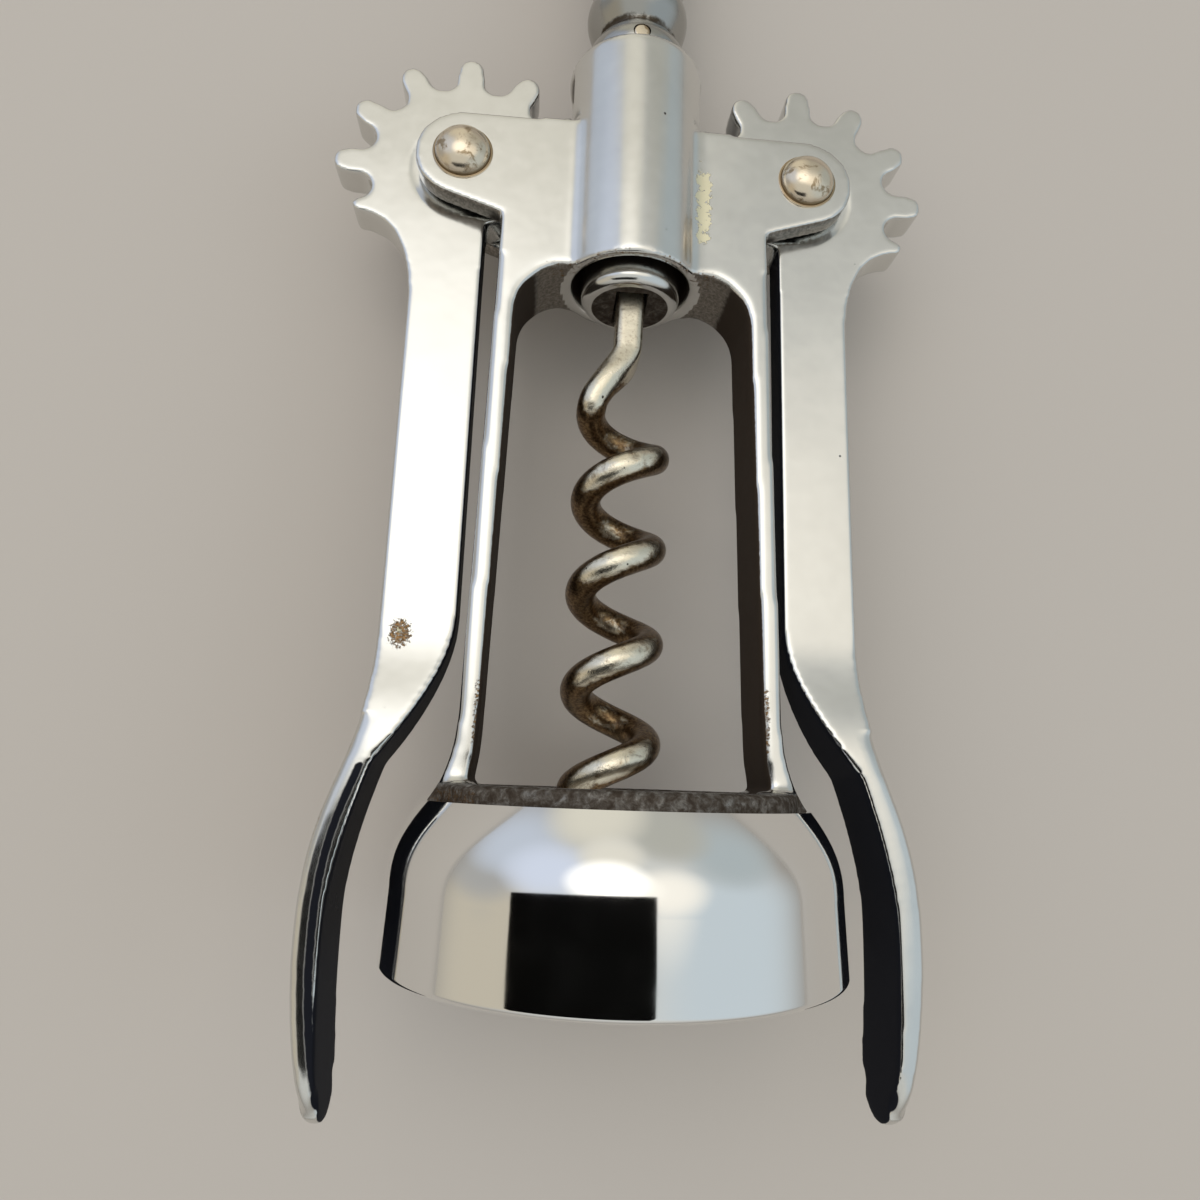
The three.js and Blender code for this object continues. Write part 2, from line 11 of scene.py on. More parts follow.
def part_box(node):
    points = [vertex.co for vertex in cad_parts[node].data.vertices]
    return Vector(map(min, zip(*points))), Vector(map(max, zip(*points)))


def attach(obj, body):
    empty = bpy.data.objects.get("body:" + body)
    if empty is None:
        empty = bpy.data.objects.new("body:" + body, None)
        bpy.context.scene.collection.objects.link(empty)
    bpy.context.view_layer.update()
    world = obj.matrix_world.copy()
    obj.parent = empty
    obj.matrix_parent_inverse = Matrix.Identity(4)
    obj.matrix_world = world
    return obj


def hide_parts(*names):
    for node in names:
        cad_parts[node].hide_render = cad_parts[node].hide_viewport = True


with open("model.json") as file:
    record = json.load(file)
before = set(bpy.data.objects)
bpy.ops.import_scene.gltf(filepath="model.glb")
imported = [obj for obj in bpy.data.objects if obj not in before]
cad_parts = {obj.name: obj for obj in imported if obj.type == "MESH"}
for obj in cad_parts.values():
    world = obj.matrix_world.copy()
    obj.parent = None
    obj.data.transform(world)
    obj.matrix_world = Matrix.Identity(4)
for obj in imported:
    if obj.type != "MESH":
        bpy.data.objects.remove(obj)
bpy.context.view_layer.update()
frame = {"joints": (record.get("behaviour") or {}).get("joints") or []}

bl_info = {
    "name": "Wing corkscrew",
    "version": (1, 0, 0),
    "blender": (4, 5, 0),
    "location": "View3D > Sidebar > Corkscrew",
    "description": "Models a wing corkscrew piece by piece and lights it",
    "category": "Add Mesh",
}

MM = 0.001
JOINTS = {joint["name"]: joint for joint in frame["joints"]}
LEFT_PIVOT = Vector(JOINTS["left_wing_hinge"]["pos_m"])
RIGHT_PIVOT = Vector(JOINTS["right_wing_hinge"]["pos_m"])
PIVOT_OFFSET = (RIGHT_PIVOT - LEFT_PIVOT).length / 2
BELL_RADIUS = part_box("bell")[1].x
HANDLE_HALF_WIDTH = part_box("handle")[1].x
QUARTER = math.pi / 2
FACETS = 192
RELIEF_DEPTH = 0.05 * MM
WORM_RELIEF_DEPTH = 0.06 * MM
# This layer also carries painted shade, painted reflections and a painted highlight.
WEAR_AND_PAINTED_LIGHT = "wear_and_painted_light"


def length(label, text, millimetres):
    """A size that a user may change, shown as a length."""
    return bpy.props.FloatProperty(
        name=label, description=text, default=millimetres * MM, min=0, unit="LENGTH", precision=5
    )


def tint(label, text, red, green, blue):
    """A colour that a user may change."""
    return bpy.props.FloatVectorProperty(
        name=label, description=text, default=(red, green, blue), min=0, max=1, size=3, subtype="COLOR"
    )


class CorkscrewFrameSizes(bpy.types.PropertyGroup):
    """Sizes of the frame casting."""

    pivot_height: length("Pivot height", "Height of the levers' pivots over the bell's rim", 77.3)
    depth: length("Depth", "Depth of crossbar and legs from front to back", 8.4)
    ear_radius: length("Ear radius", "Radius of the round ears", 4.8)
    ear_corner_height: length("Ear corner height", "Height where each ear meets its leg", 70.8)
    ear_top_rise: length("Top rise", "Rise of the crossbar's top from the ears to its middle", 0.5)
    leg_top_outer: length("Leg top", "Distance of each leg's outer side from the axis at its top", 13.5)
    leg_foot_outer: length("Leg foot", "Distance of each leg's outer side from the axis at its foot", 14.5)
    leg_thickness: length("Leg thickness", "Thickness of the legs from side to side", 1.9)
    leg_flare_height: length("Flare height", "Height over which the feet widen", 9.2)
    leg_flare_width: length("Flare width", "How far the feet widen", 2.8)
    window_top: length("Window top", "Height of the window's top edge", 65.5)
    window_corner: length("Window corner", "Radius of the window's upper corners", 5)
    ring_bottom: length("Ring bottom", "Height of the ring that stands on the bell", 12.8)
    ring_height: length("Ring height", "Height of that ring itself", 2.1)
    ring_outer: length("Ring radius", "Outer radius of that ring", 16.1)
    barrel_radius: length("Barrel radius", "Outer radius of the barrel", 7.25)
    barrel_top: length("Barrel top", "Height of the barrel's top", 91)
    barrel_fillet: length("Barrel fillet", "Radius of the hollow where barrel and crossbar meet", 2)
    bore_radius: length("Bore", "Radius of the barrel's bore", 6)
    bore_chamfer: length("Bore chamfer", "Chamfer at both ends of the bore", 0.35)
    slot_radius: length("Slot radius", "Radius of the slots that the gears turn in", 13.8)
    slot_width: length("Slot width", "Width of those slots from front to back", 4.2)
    slot_bridge: length("Slot bridge", "Metal left between the slots' ends and the barrel's top", 1.3)
    rivet_hole: length("Rivet hole", "Radius of the holes for the rivets", 2.4)


class CorkscrewBellSizes(bpy.types.PropertyGroup):
    """Sizes of the bell."""

    height: length("Height", "Height of the bell from its rim to its top", 13.5)
    taper: length("Taper", "How much the wall draws in from the rim to the shoulder", 0.25)
    wall: length("Wall", "Thickness of the wall", 2)
    shoulder_base: length("Shoulder base", "Height where the shoulder starts to draw in", 6.5)
    shoulder_bend: length("Shoulder bend", "Height that the shoulder's curve is drawn toward", 8.8)
    cone_foot: length("Cone foot", "Height where the curve runs out into the sloping shoulder", 10.6)
    cone_inset: length("Cone inset", "How far the wall has drawn in there", 0.46)
    top_radius: length("Top radius", "Outer radius of the bell's flat top", 17.45)
    ledge_radius: length("Ledge radius", "Outer radius of the ledge for the bottle's lip", 16.2)
    top_thickness: length("Top thickness", "Thickness of the bell's top", 2.2)
    mouth_radius: length("Mouth radius", "Radius of the opening in the top", 12.4)
    rim_round: length("Rim rounding", "Rounding of the rim's outer edge", 0.5)
    rim_round_inner: length("Inner rim rounding", "Rounding of the rim's inner edge", 0.3)


class CorkscrewLeverSizes(bpy.types.PropertyGroup):
    """Sizes of the levers."""

    thickness: length("Thickness", "Thickness of gear and arm from front to back", 3.6)
    tip_radius: length("Tip radius", "Radius of the gear over its teeth", 13.4)
    root_radius: length("Root radius", "Radius of the gear between its teeth", 9.7)
    tip_round: length("Tip rounding", "Radius of each tooth's round end", 1.3)
    valley_round: length("Valley rounding", "Radius of the round valleys between the teeth", 1.5)
    teeth_per_turn: bpy.props.IntProperty(
        name="Teeth per turn", description="Teeth that a full gear would have", default=12, min=8
    )
    teeth: bpy.props.IntProperty(name="Teeth", description="Whole teeth on each lever", default=7, min=1)
    last_radius: length("Last tooth radius", "Radius of the stub at the gear's outer end", 12.2)
    last_angle: bpy.props.FloatProperty(
        name="Last tooth angle",
        description="Angle of that stub round the pivot",
        default=math.radians(206),
        subtype="ANGLE",
    )
    last_round: length("Last tooth rounding", "Rounding of that stub", 0.7)
    notch_depth: length("Notch depth", "Length of the curve from the stub to the arm", 10)
    web_angle: bpy.props.FloatProperty(
        name="Web angle",
        description="Angle where the gear's inner side leaves its root",
        default=math.radians(-25),
        subtype="ANGLE",
    )
    web_drop: length("Web drop", "Height of the gear's web below the pivot", 6.3)
    arm_inner: length("Arm inner side", "Distance of the arm's inner side from the pivot", 2.4)
    arm_width: length("Arm width", "Width of the arm from side to side", 7.1)
    arm_length: length("Arm length", "Length of the arm below the pivot", 50)
    blade_reach: length("Blade reach", "Distance of the blade's tip below the pivot", 90)
    blade_bulge: length("Blade bulge", "How far the blade stands out from the arm, round the bell", 4.4)
    blade_bulge_drop: length("Bulge drop", "Distance from the arm's end to the blade's widest place", 24.5)
    blade_thickness: length("Blade thickness", "Thickness of the blade", 2.5)
    blade_width: length("Blade width", "Width of the blade from front to back", 8.4)
    blade_flare: length("Blade flare", "Length over which the arm widens to the blade", 13)
    blade_tip: length("Blade tip", "Length of the blade's round tip", 5)
    tip_inset: length("Tip inset", "How far the blade's tip draws in from its widest place", 2.3)
    tip_thickness: length("Tip thickness", "Thickness of the blade's tip", 1.2)
    neck_drop: length("Neck drop", "Distance from the arm's end to the neck's thinnest place", 10.8)
    neck_inside: length("Neck", "Thickness of the neck at that place", 0.9)
    hub_radius: length("Hub recess radius", "Radius of the recess round each ear", 5.6)
    hub_depth: length("Hub recess depth", "Depth of the recess round each ear", 0.1)
    rivet_hole: length("Rivet hole", "Radius of the hole for the rivet", 2.5)
    outer_round: length("Outer rounding", "Reach of the rounding along the blade's outer edges", 1.7)


class CorkscrewRivetSizes(bpy.types.PropertyGroup):
    """Sizes of the rivets and pins."""

    radius: length("Rivet radius", "Radius of the rivets' shanks", 2.1)
    head_radius: length("Head radius", "Radius of the rivets' domed heads", 2.8)
    head_height: length("Head height", "Height of the rivets' domed heads", 1.7)
    seat: length("Head seat", "Distance of the heads' undersides from the middle", 4.25)
    burr_radius: length("Burr radius", "Radius of the burr raised round each head", 3.05)
    burr_height: length("Burr height", "Height of that burr", 0.12)
    worm_pin: length("Worm pin radius", "Radius of the pin through the worm's shank", 0.5)
    handle_pin: length("Handle pin radius", "Radius of the pin through the handle", 1.1)
    retainer: length("Retaining pin radius", "Radius of the pin in the rack", 0.9)


class CorkscrewRackSizes(bpy.types.PropertyGroup):
    """Sizes of rack and spindle."""

    crest_radius: length("Crest radius", "Radius of the rack's ring-shaped teeth", 5.6)
    root_radius: length("Root radius", "Radius of the rack between its teeth", 4.1)
    pitch: length("Pitch", "Distance from one tooth to the next", 6.1994)
    top_radius: length("Top radius", "Radius of the plain top collar", 4.9)
    bottom: length("Bottom", "Height of the rack's lower end", 71)
    top: length("Top", "Height of the rack's upper end", 122.9)
    bore: length("Bore", "Radius of the bore that the spindle turns in", 2.7)
    spindle_radius: length("Spindle radius", "Radius of the spindle", 2.3)
    head_radius: length("Head radius", "Radius of the spindle's head", 5.1)
    head_bottom: length("Head bottom", "Height of the head's lower face", 63.7)
    head_length: length("Head length", "Length of the spindle's head", 7)
    head_round: length("Head rounding", "Rounding of the head's lower edge", 1.05)
    flat_margin: length("Dull face margin", "Bright margin round the head's dull lower face", 0.12)
    slot_width: length("Slot width", "Width of the slot that holds the worm's shank", 3.3)
    slot_length: length("Slot length", "Length of that slot from front to back", 6)
    slot_depth: length("Slot depth", "Depth of that slot", 5.3)
    embed: length("Depth in handle", "How far the spindle reaches into the handle", 7)


class CorkscrewWormSizes(bpy.types.PropertyGroup):
    """Sizes of the worm."""

    radius: length("Radius", "Outer radius of the helix", 4.8)
    wire: length("Wire", "Diameter of the wire", 2.95)
    pitch: length("Pitch", "Height of one turn", 9.35)
    turns: bpy.props.FloatProperty(name="Turns", description="Turns of the helix", default=4.4, min=1)
    tip: length("Tip", "Height of the point", 11)
    tip_angle: bpy.props.FloatProperty(
        name="Tip angle",
        description="Angle of the point round the axis",
        default=math.radians(-224),
        subtype="ANGLE",
    )
    point_length: length("Point length", "Height over which the wire is sharpened", 4)
    lead_length: length("Lead length", "Height over which the wire swings back to the axis", 6.8)
    shank_width: length("Shank width", "Width of the flattened shank", 2.8)
    shank_depth: length("Shank depth", "Depth of the flattened shank from front to back", 3.6)
    shank_embed: length("Shank in head", "How far the shank reaches into the spindle's head", 5)
    lean: length("Lean", "How far use has bent the point to the left", 0.9)


class CorkscrewHandleSizes(bpy.types.PropertyGroup):
    """Sizes of the handle."""

    bottom: length("Bottom", "Height of the handle's lower end", 123.2)
    height: length("Height", "Height of the handle", 42)
    thickness: length("Thickness", "Thickness of the flat bow", 5)
    corner: length("Corner", "Reach of the bow's round corners", 9)
    boss_radius: length("Boss radius", "Radius of the round boss", 5.6)
    boss_length: length("Boss length", "Length of the round boss", 9)
    rim: length("Rim", "Width of the bow's metal", 6)
    lip_width: length("Lip width", "Width of the lip that lifts crown caps", 9)
    lip_height: length("Lip height", "Height of that lip", 2.6)


class CorkscrewFinish(bpy.types.PropertyGroup):
    """Colours of the metals."""

    plating: tint("Plating", "Colour of the satin plating", 0.72, 0.715, 0.69)
    mirror: tint("Mirror plating", "Colour of the bell's mirror plating", 0.83, 0.825, 0.81)
    casting: tint("Bare casting", "Colour of the dull metal inside the window", 0.27, 0.245, 0.215)
    # Painted shade: the next two colours paint shade and dark reflections onto the levers' inner sides, a
    # strip on the left blade, the legs' inner sides, the bore, the ring and the spindle's head.
    painted_shade_plating: tint("Darkened plating", "Colour of the blades' inner sides", 0.013, 0.014, 0.019)
    painted_shade_casting: tint("Darkened casting", "Colour of the legs' inner sides", 0.042, 0.032, 0.025)
    stain: tint("Stain", "Colour of the brown blemishes", 0.33, 0.2, 0.095)
    underplate: tint("Underplating", "Colour that shows where the plating has flaked", 0.83, 0.78, 0.58)
    pit: tint("Pits", "Colour of the small dark pits", 0.03, 0.026, 0.022)
    speck: tint("Specks", "Colour of the small bright specks", 0.93, 0.92, 0.88)
    haze: tint("Haze", "Colour of the bell's dull places", 0.3, 0.28, 0.25)
    rivet: tint("Rivet", "Colour of the rivets where they are rubbed", 0.72, 0.63, 0.5)
    tarnish: tint("Tarnish", "Colour of the rivets' tarnish", 0.3, 0.22, 0.13)
    steel: tint("Rack steel", "Colour of the turned rack", 0.38, 0.375, 0.355)
    dirt: tint("Dirt", "Colour of the dirt between the rack's teeth", 0.07, 0.055, 0.04)
    shank: tint("Worm", "Colour of the worm's bare steel", 0.76, 0.7, 0.57)
    patina: tint("Patina", "Colour of the worm's deep brown patina", 0.1, 0.06, 0.032)
    light_patina: tint("Light patina", "Colour of the worm's lighter patina", 0.29, 0.195, 0.1)


class CorkscrewStage(bpy.types.PropertyGroup):
    """Camera, floor and light."""

    camera_side: bpy.props.FloatProperty(
        name="Camera side", description="Camera's distance right of the axis", default=-0.00815, unit="LENGTH"
    )
    camera_height: length("Camera height", "Camera's distance from the rim's plane along the axis", 15.345)
    camera_front: length("Camera front", "Camera's distance in front of the axis", 78.95)
    camera_turn: bpy.props.FloatVectorProperty(
        name="Camera turn",
        description="Turn of the camera about its side, its height and its line of sight",
        default=(math.radians(12.3), math.radians(-4.3), math.radians(2.82)),
        subtype="EULER",
    )
    lens: bpy.props.FloatProperty(name="Lens", description="Focal length in millimetres", default=25.29)
    floor: tint("Floor", "Colour of the floor", 0.5, 0.46, 0.425)
    floor_size: length("Floor size", "Length of the floor's sides", 4000)
    card: tint("Card", "Colour of the dark card that the bell reflects", 0.003, 0.003, 0.003)
    card_width: length("Card width", "Width of that card", 111)
    card_height: length("Card height", "Height of that card along the axis", 75)
    card_left: length("Card left", "Distance of the card's middle left of the axis", 39.5)
    card_below: length("Card below", "Distance of the card's middle below the bell's rim", 22.5)
    card_front: length("Card front", "Distance of the card in front of the axis", 80)


def lying_matrix():
    """Turns the corkscrew's own axes, with the bell's rim at the origin, to where the frame lies."""
    up = -Vector(JOINTS["rack_slide"]["axis"]).normalized()
    right = Vector((1, 0, 0))
    matrix = Matrix((right, up, right.cross(up))).transposed().to_4x4()
    middle = (LEFT_PIVOT + RIGHT_PIVOT) / 2
    matrix.translation = middle - up * bpy.context.scene.corkscrew_frame.pivot_height
    return matrix


def smoothstep(start, end, value):
    """Rises smoothly from 0 at start to 1 at end."""
    share = min(max((value - start) / (end - start), 0), 1)
    return share * share * (3 - 2 * share)


# Outlines


def arc(centre, radius, start, end, steps=12):
    """Points along an arc, or along an ellipse where radius is a pair."""
    across, up = radius if isinstance(radius, tuple) else (radius, radius)
    angles = [start + (end - start) * step / steps for step in range(steps + 1)]
    return [Vector((centre[0] + across * math.cos(a), centre[1] + up * math.sin(a))) for a in angles]


def bow(*controls, steps=12):
    """Points along a curve from the first control point to the last, drawn toward those between."""
    points = []
    for step in range(steps + 1):
        row = [Vector(control) for control in controls]
        while len(row) > 1:
            row = [a.lerp(b, step / steps) for a, b in zip(row, row[1:])]
        points += row
    return points


def mirrored(points):
    """The same outline on the other side, in reverse order."""
    return [Vector((-p.x, p.y)) for p in reversed(points)]


# Solids


def slab(points, back, front):
    """A flat outline across the axis, extruded from back to front."""
    bm = bmesh.new()
    rim = [bm.verts.new((x, y, back)) for x, y in points]
    bmesh.ops.remove_doubles(bm, verts=rim, dist=MM / 1000)
    face = bm.faces.new(list(bm.verts))
    raised = bmesh.ops.extrude_face_region(bm, geom=[face])["geom"]
    corners = [item for item in raised if isinstance(item, bmesh.types.BMVert)]
    bmesh.ops.translate(bm, verts=corners, vec=(0, 0, front - back))
    bmesh.ops.recalc_face_normals(bm, faces=bm.faces)
    return bm


def turned(profile, steps=96, closed=False):
    """A profile of (radius, height) points spun once round the axis."""
    bm = bmesh.new()
    points = [bm.verts.new((radius, height, 0)) for radius, height in profile]
    pairs = list(zip(points, points[1:]))
    if closed:
        pairs.append((points[-1], points[0]))
    edges = [bm.edges.new(pair) for pair in pairs]
    bmesh.ops.spin(
        bm,
        geom=points + edges,
        cent=(0, 0, 0),
        axis=(0, 1, 0),
        angle=math.tau,
        steps=steps,
        use_merge=True,
    )
    bmesh.ops.remove_doubles(bm, verts=bm.verts, dist=MM / 1000)
    bmesh.ops.dissolve_degenerate(bm, edges=bm.edges, dist=MM / 1000)
    bmesh.ops.recalc_face_normals(bm, faces=bm.faces)
    return bm


def rod(radius, bottom, top, steps=96):
    """A plain round rod along the axis."""
    return turned([(0, bottom), (radius, bottom), (radius, top), (0, top)], steps)


def cross_rod(radius, x, y, back, front, steps=96):
    """A plain round rod from back to front."""
    bm = bmesh.new()
    place = Matrix.Translation((x, y, (back + front) / 2))
    bmesh.ops.create_cone(
        bm, cap_ends=True, segments=steps, radius1=radius, radius2=radius, depth=front - back, matrix=place
    )
    return bm


def block(width, height, depth, x, y, z):
    """A box with its middle at x, y, z."""
    bm = bmesh.new()
    place = Matrix.Translation((x, y, z)) @ Matrix.Diagonal((width, height, depth, 1))
    bmesh.ops.create_cube(bm, size=1, matrix=place)
    return bm


def facing_front(bm, x, y):
    """Turns a piece that was spun round the axis so that its top faces the front, at x, y."""
    bmesh.ops.rotate(bm, verts=bm.verts, cent=(0, 0, 0), matrix=Matrix.Rotation(QUARTER, 3, "X"))
    bmesh.ops.translate(bm, verts=bm.verts, vec=(x, y, 0))
    return bm


def made_object(bm, name):
    """An object that holds the modelled mesh."""
    mesh = bpy.data.meshes.new(name)
    bm.to_mesh(mesh)
    bm.free()
    made = bpy.data.objects.new(name, mesh)
    bpy.context.scene.collection.objects.link(made)
    return made


def settle(piece):
    """Turns what a piece's modifiers make into its mesh."""
    bpy.context.view_layer.update()
    shown = piece.evaluated_get(bpy.context.evaluated_depsgraph_get())
    mesh = bpy.data.meshes.new_from_object(shown)
    before = piece.data
    piece.modifiers.clear()
    piece.data = mesh
    bpy.data.meshes.remove(before)


def combined(base, operation, others):
    """Joins a solid with others, cuts it by them or keeps what they share."""
    body = made_object(base, "body")
    tools = [made_object(other, "tool") for other in others]
    for tool in tools:
        cut = body.modifiers.new("combine", "BOOLEAN")
        cut.operation = operation
        cut.solver = "MANIFOLD"
        cut.object = tool
    settle(body)
    bm = bmesh.new()
    bm.from_mesh(body.data)
    for used in [body] + tools:
        bpy.data.objects.remove(used)
    if not bm.faces:
        raise RuntimeError("A cut or join left nothing of the solid.")
    return bm


def cast(bm, voxel):
    """Gives a solid the even skin of a casting."""
    body = made_object(bm, "body")
    skin = body.modifiers.new("skin", "REMESH")
    skin.mode = "VOXEL"
    skin.voxel_size = voxel
    settle(body)
    made = bmesh.new()
    made.from_mesh(body.data)
    bpy.data.objects.remove(body)
    if not made.faces:
        raise RuntimeError("The casting came out empty.")
    return made


def soften(bm, rounds, where=None):
    """Rounds the edges a little more with each round, all over or only where where(place) is true."""
    verts = [vert for vert in bm.verts if where is None or where(vert.co)]
    for _ in range(rounds):
        bmesh.ops.smooth_vert(bm, verts=verts, factor=0.5, use_axis_x=True, use_axis_y=True, use_axis_z=True)
    return bm


def add_piece(bm, name, body, nodes, material, sharp_above=None, wear_and_painted_light=None):
    """Finishes a piece: its marks and painted light, its sharp edges, its place, its body and its metal."""
    if wear_and_painted_light:
        bm.normal_update()
        layer = bm.verts.layers.float_color.new(WEAR_AND_PAINTED_LIGHT)
        for vert in bm.verts:
            shares = wear_and_painted_light(vert.co / MM, vert.normal)
            vert[layer] = (*shares, *(0,) * (4 - len(shares)))
    for face in bm.faces:
        face.smooth = True
    if sharp_above:
        for edge in bm.edges:
            edge.smooth = edge.calc_face_angle(0) < sharp_above
    bmesh.ops.transform(bm, matrix=lying_matrix(), verts=bm.verts)
    piece = made_object(bm, name)
    piece.data.materials.append(material)
    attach(piece, body)
    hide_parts(*nodes)
    return piece


# Metals


class Nodes:
    """Adds the nodes of one metal, sky or floor."""

    def __init__(self, tree):
        self.tree = tree

    def add(self, kind, inputs, output=0, **settings):
        """Adds a node, sets or links its inputs and returns one of its outputs."""
        node = self.tree.nodes.new(kind)
        for name, value in settings.items():
            setattr(node, name, value)
        for name, value in inputs.items():
            if isinstance(value, bpy.types.NodeSocket):
                self.tree.links.new(value, node.inputs[name])
            else:
                node.inputs[name].default_value = value
        return node.outputs[output]

    def maths(self, operation, first, second):
        """Works out a value from two others."""
        return self.add("ShaderNodeMath", {0: first, 1: second}, operation=operation)

    def times(self, first, second):
        """Multiplies two values."""
        return self.maths("MULTIPLY", first, second)

    def spread(self, value, low, high, to_low=0.0, to_high=1.0):
        """Takes low..high smoothly to to_low..to_high."""
        ends = {"Value": value, "From Min": low, "From Max": high, "To Min": to_low, "To Max": to_high}
        return self.add("ShaderNodeMapRange", ends, interpolation_type="SMOOTHSTEP")

    def blend(self, share, first, second):
        """Mixes two colours."""
        return self.add("ShaderNodeMix", {0: share, 6: first, 7: second}, 2, data_type="RGBA")

    def noise(self, place, scale, detail=3.0, roughness=0.55, distortion=0.0):
        """A cloudy noise, finer the larger its scale."""
        ends = {"Vector": place, "Scale": scale, "Detail": detail}
        ends |= {"Roughness": roughness, "Distortion": distortion}
        return self.add("ShaderNodeTexNoise", ends)

    def own_place(self):
        """Places in millimetres along the corkscrew's own axes."""
        lying = lying_matrix()
        turn = lying.to_3x3().transposed()
        start = -(turn @ lying.translation) / MM
        place = self.add("ShaderNodeTexCoord", {}, "Object")
        ends = {"Vector": place, "Location": start, "Rotation": turn.to_euler(), "Scale": (1 / MM,) * 3}
        return self.add("ShaderNodeMapping", ends)

    def stretched(self, place, scale):
        """Places drawn out or squeezed along each axis."""
        return self.add("ShaderNodeMapping", {"Vector": place, "Scale": scale})

    def pits(self, place, per_mm, share, size):
        """Small round marks of unlike sizes; share of the cells hold one."""
        cells = self.tree.nodes.new("ShaderNodeTexVoronoi")
        self.tree.links.new(place, cells.inputs["Vector"])
        cells.inputs["Scale"].default_value = per_mm
        chance = self.add("ShaderNodeSeparateColor", {"Color": cells.outputs["Color"]})
        reach = self.spread(chance, 1 - share, 1.0, 0.0, size * per_mm)
        edge = self.maths("SUBTRACT", reach, cells.outputs["Distance"])
        return self.spread(edge, 0.0, size * per_mm / 3)


def new_metal(name):
    """A metal with its shader, ready for its details."""
    material = bpy.data.materials.new(name)
    material.use_nodes = True
    nodes = Nodes(material.node_tree)
    shader = material.node_tree.nodes["Principled BSDF"]
    shader.inputs["Metallic"].default_value = 1
    return material, nodes, shader


def finish_metal(nodes, shader, colour, roughness, relief, depth=RELIEF_DEPTH, metallic=None):
    """Links a metal's colour, roughness and relief to its shader."""
    links = nodes.tree.links
    links.new(colour, shader.inputs["Base Color"])
    links.new(roughness, shader.inputs["Roughness"])
    if metallic:
        links.new(metallic, shader.inputs["Metallic"])
    bump = nodes.add("ShaderNodeBump", {"Strength": 1.0, "Distance": depth, "Height": relief})
    links.new(bump, shader.inputs["Normal"])


def opaque(colour):
    """A colour with full cover."""
    return (*colour, 1)


def scaled(nodes, colour, share):
    """A colour made lighter or darker by a share."""
    return nodes.add("ShaderNodeVectorMath", {0: colour, "Scale": share}, operation="SCALE")


def wear_and_light_shares(nodes):
    """The four shares of marks and painted light that a piece's mesh carries."""
    wear_and_painted_light = nodes.add("ShaderNodeAttribute", {}, "Color", attribute_name=WEAR_AND_PAINTED_LIGHT)
    shares = [nodes.add("ShaderNodeSeparateColor", {"Color": wear_and_painted_light}, part) for part in range(3)]
    return shares + [nodes.add("ShaderNodeAttribute", {}, "Alpha", attribute_name=WEAR_AND_PAINTED_LIGHT)]


def patchy(nodes, share, noise, weight, width):
    """Where a share of wear outgrows a noise, with an edge of the given width."""
    return nodes.spread(nodes.maths("SUBTRACT", share, nodes.times(noise, weight)), 0.0, width)


def summed(nodes, first, *parts):
    """Adds values, each with its weight, to the first."""
    for value, weight in parts:
        first = nodes.maths("ADD", first, nodes.times(value, weight))
    return first


def plating_metal(name, mottle):
    """Satin plating with pits, stains, flakes and bare casting, and with painted shade and dark reflections
    where the mesh's shares ask for them.
    """
    finish = bpy.context.scene.corkscrew_finish
    material, nodes, shader = new_metal(name)
    place = nodes.own_place()
    bare, stain, flaked, painted_shade = wear_and_light_shares(nodes)
    broad = nodes.noise(place, 0.09, 2.0)
    cloud = nodes.noise(place, 0.5, 4.0, 0.6)
    grain = nodes.noise(place, 5.0, 3.0, 0.6)
    crust = nodes.noise(place, 1.3, 6.0, 0.65, 0.4)
    fine_crust = nodes.noise(place, 3.2, 5.0, 0.7)
    dark_pits = nodes.pits(place, 0.42, 0.07, 0.17)
    small_pits = nodes.pits(place, 1.1, 0.06, 0.06)
    bright_specks = nodes.pits(place, 0.6, 0.1, 0.07)
    broad_light = nodes.spread(broad, 0.3, 0.7, 0.94, 1.0)
    light = nodes.times(broad_light, nodes.spread(cloud, 0.25, 0.75, 0.96, 1.0))
    clean = scaled(nodes, finish.plating, light)
    casting = scaled(nodes, finish.casting, nodes.spread(fine_crust, 0.3, 0.75, 0.6, 1.5))
    bare_mask = patchy(nodes, bare, crust, 0.5, 0.3)
    stain_mask = patchy(nodes, stain, fine_crust, 1.0, 0.12)
    flake_mask = patchy(nodes, flaked, crust, 1.0, 0.04)
    # Painted shade: this mask, its tone and its blend below paint shade and dark reflections onto the marked
    # faces.
    painted_shade_mask = patchy(nodes, painted_shade, crust, 0.35, 0.3)
    pit_mask = nodes.maths("MAXIMUM", dark_pits, small_pits)
    painted_shade_tone = nodes.blend(bare_mask, opaque(finish.painted_shade_plating), opaque(finish.painted_shade_casting))
    stain_tone = scaled(nodes, finish.stain, nodes.spread(grain, 0.3, 0.7, 0.35, 1.3))
    colour = nodes.blend(bare_mask, clean, casting)
    colour = nodes.blend(stain_mask, colour, stain_tone)
    colour = nodes.blend(flake_mask, colour, opaque(finish.underplate))
    colour = nodes.blend(painted_shade_mask, colour, painted_shade_tone)
    colour = nodes.blend(nodes.times(pit_mask, 0.85), colour, opaque(finish.pit))
    colour = nodes.blend(nodes.times(bright_specks, 0.5), colour, opaque(finish.speck))
    roughness = nodes.spread(cloud, 0.3, 0.7, 0.15, 0.19)
    roughness = summed(nodes, roughness, (bare_mask, 0.2), (stain_mask, 0.3), (flake_mask, 0.15))
    relief = nodes.times(nodes.noise(place, 0.22, 2.0), mottle)
    relief = summed(nodes, relief, (grain, 0.012), (pit_mask, -1.0), (stain_mask, 0.4), (flake_mask, -0.7))
    relief = summed(nodes, relief, (nodes.times(fine_crust, bare_mask), 0.55))
    shader.inputs["Specular IOR Level"].default_value = 0
    # Painted shade: the painted faces also lose most of their metal, so they stay dark whatever they face.
    metallic = nodes.spread(painted_shade_mask, 0.0, 1.0, 1.0, 0.12)
    finish_metal(nodes, shader, colour, roughness, relief, metallic=metallic)
    return material


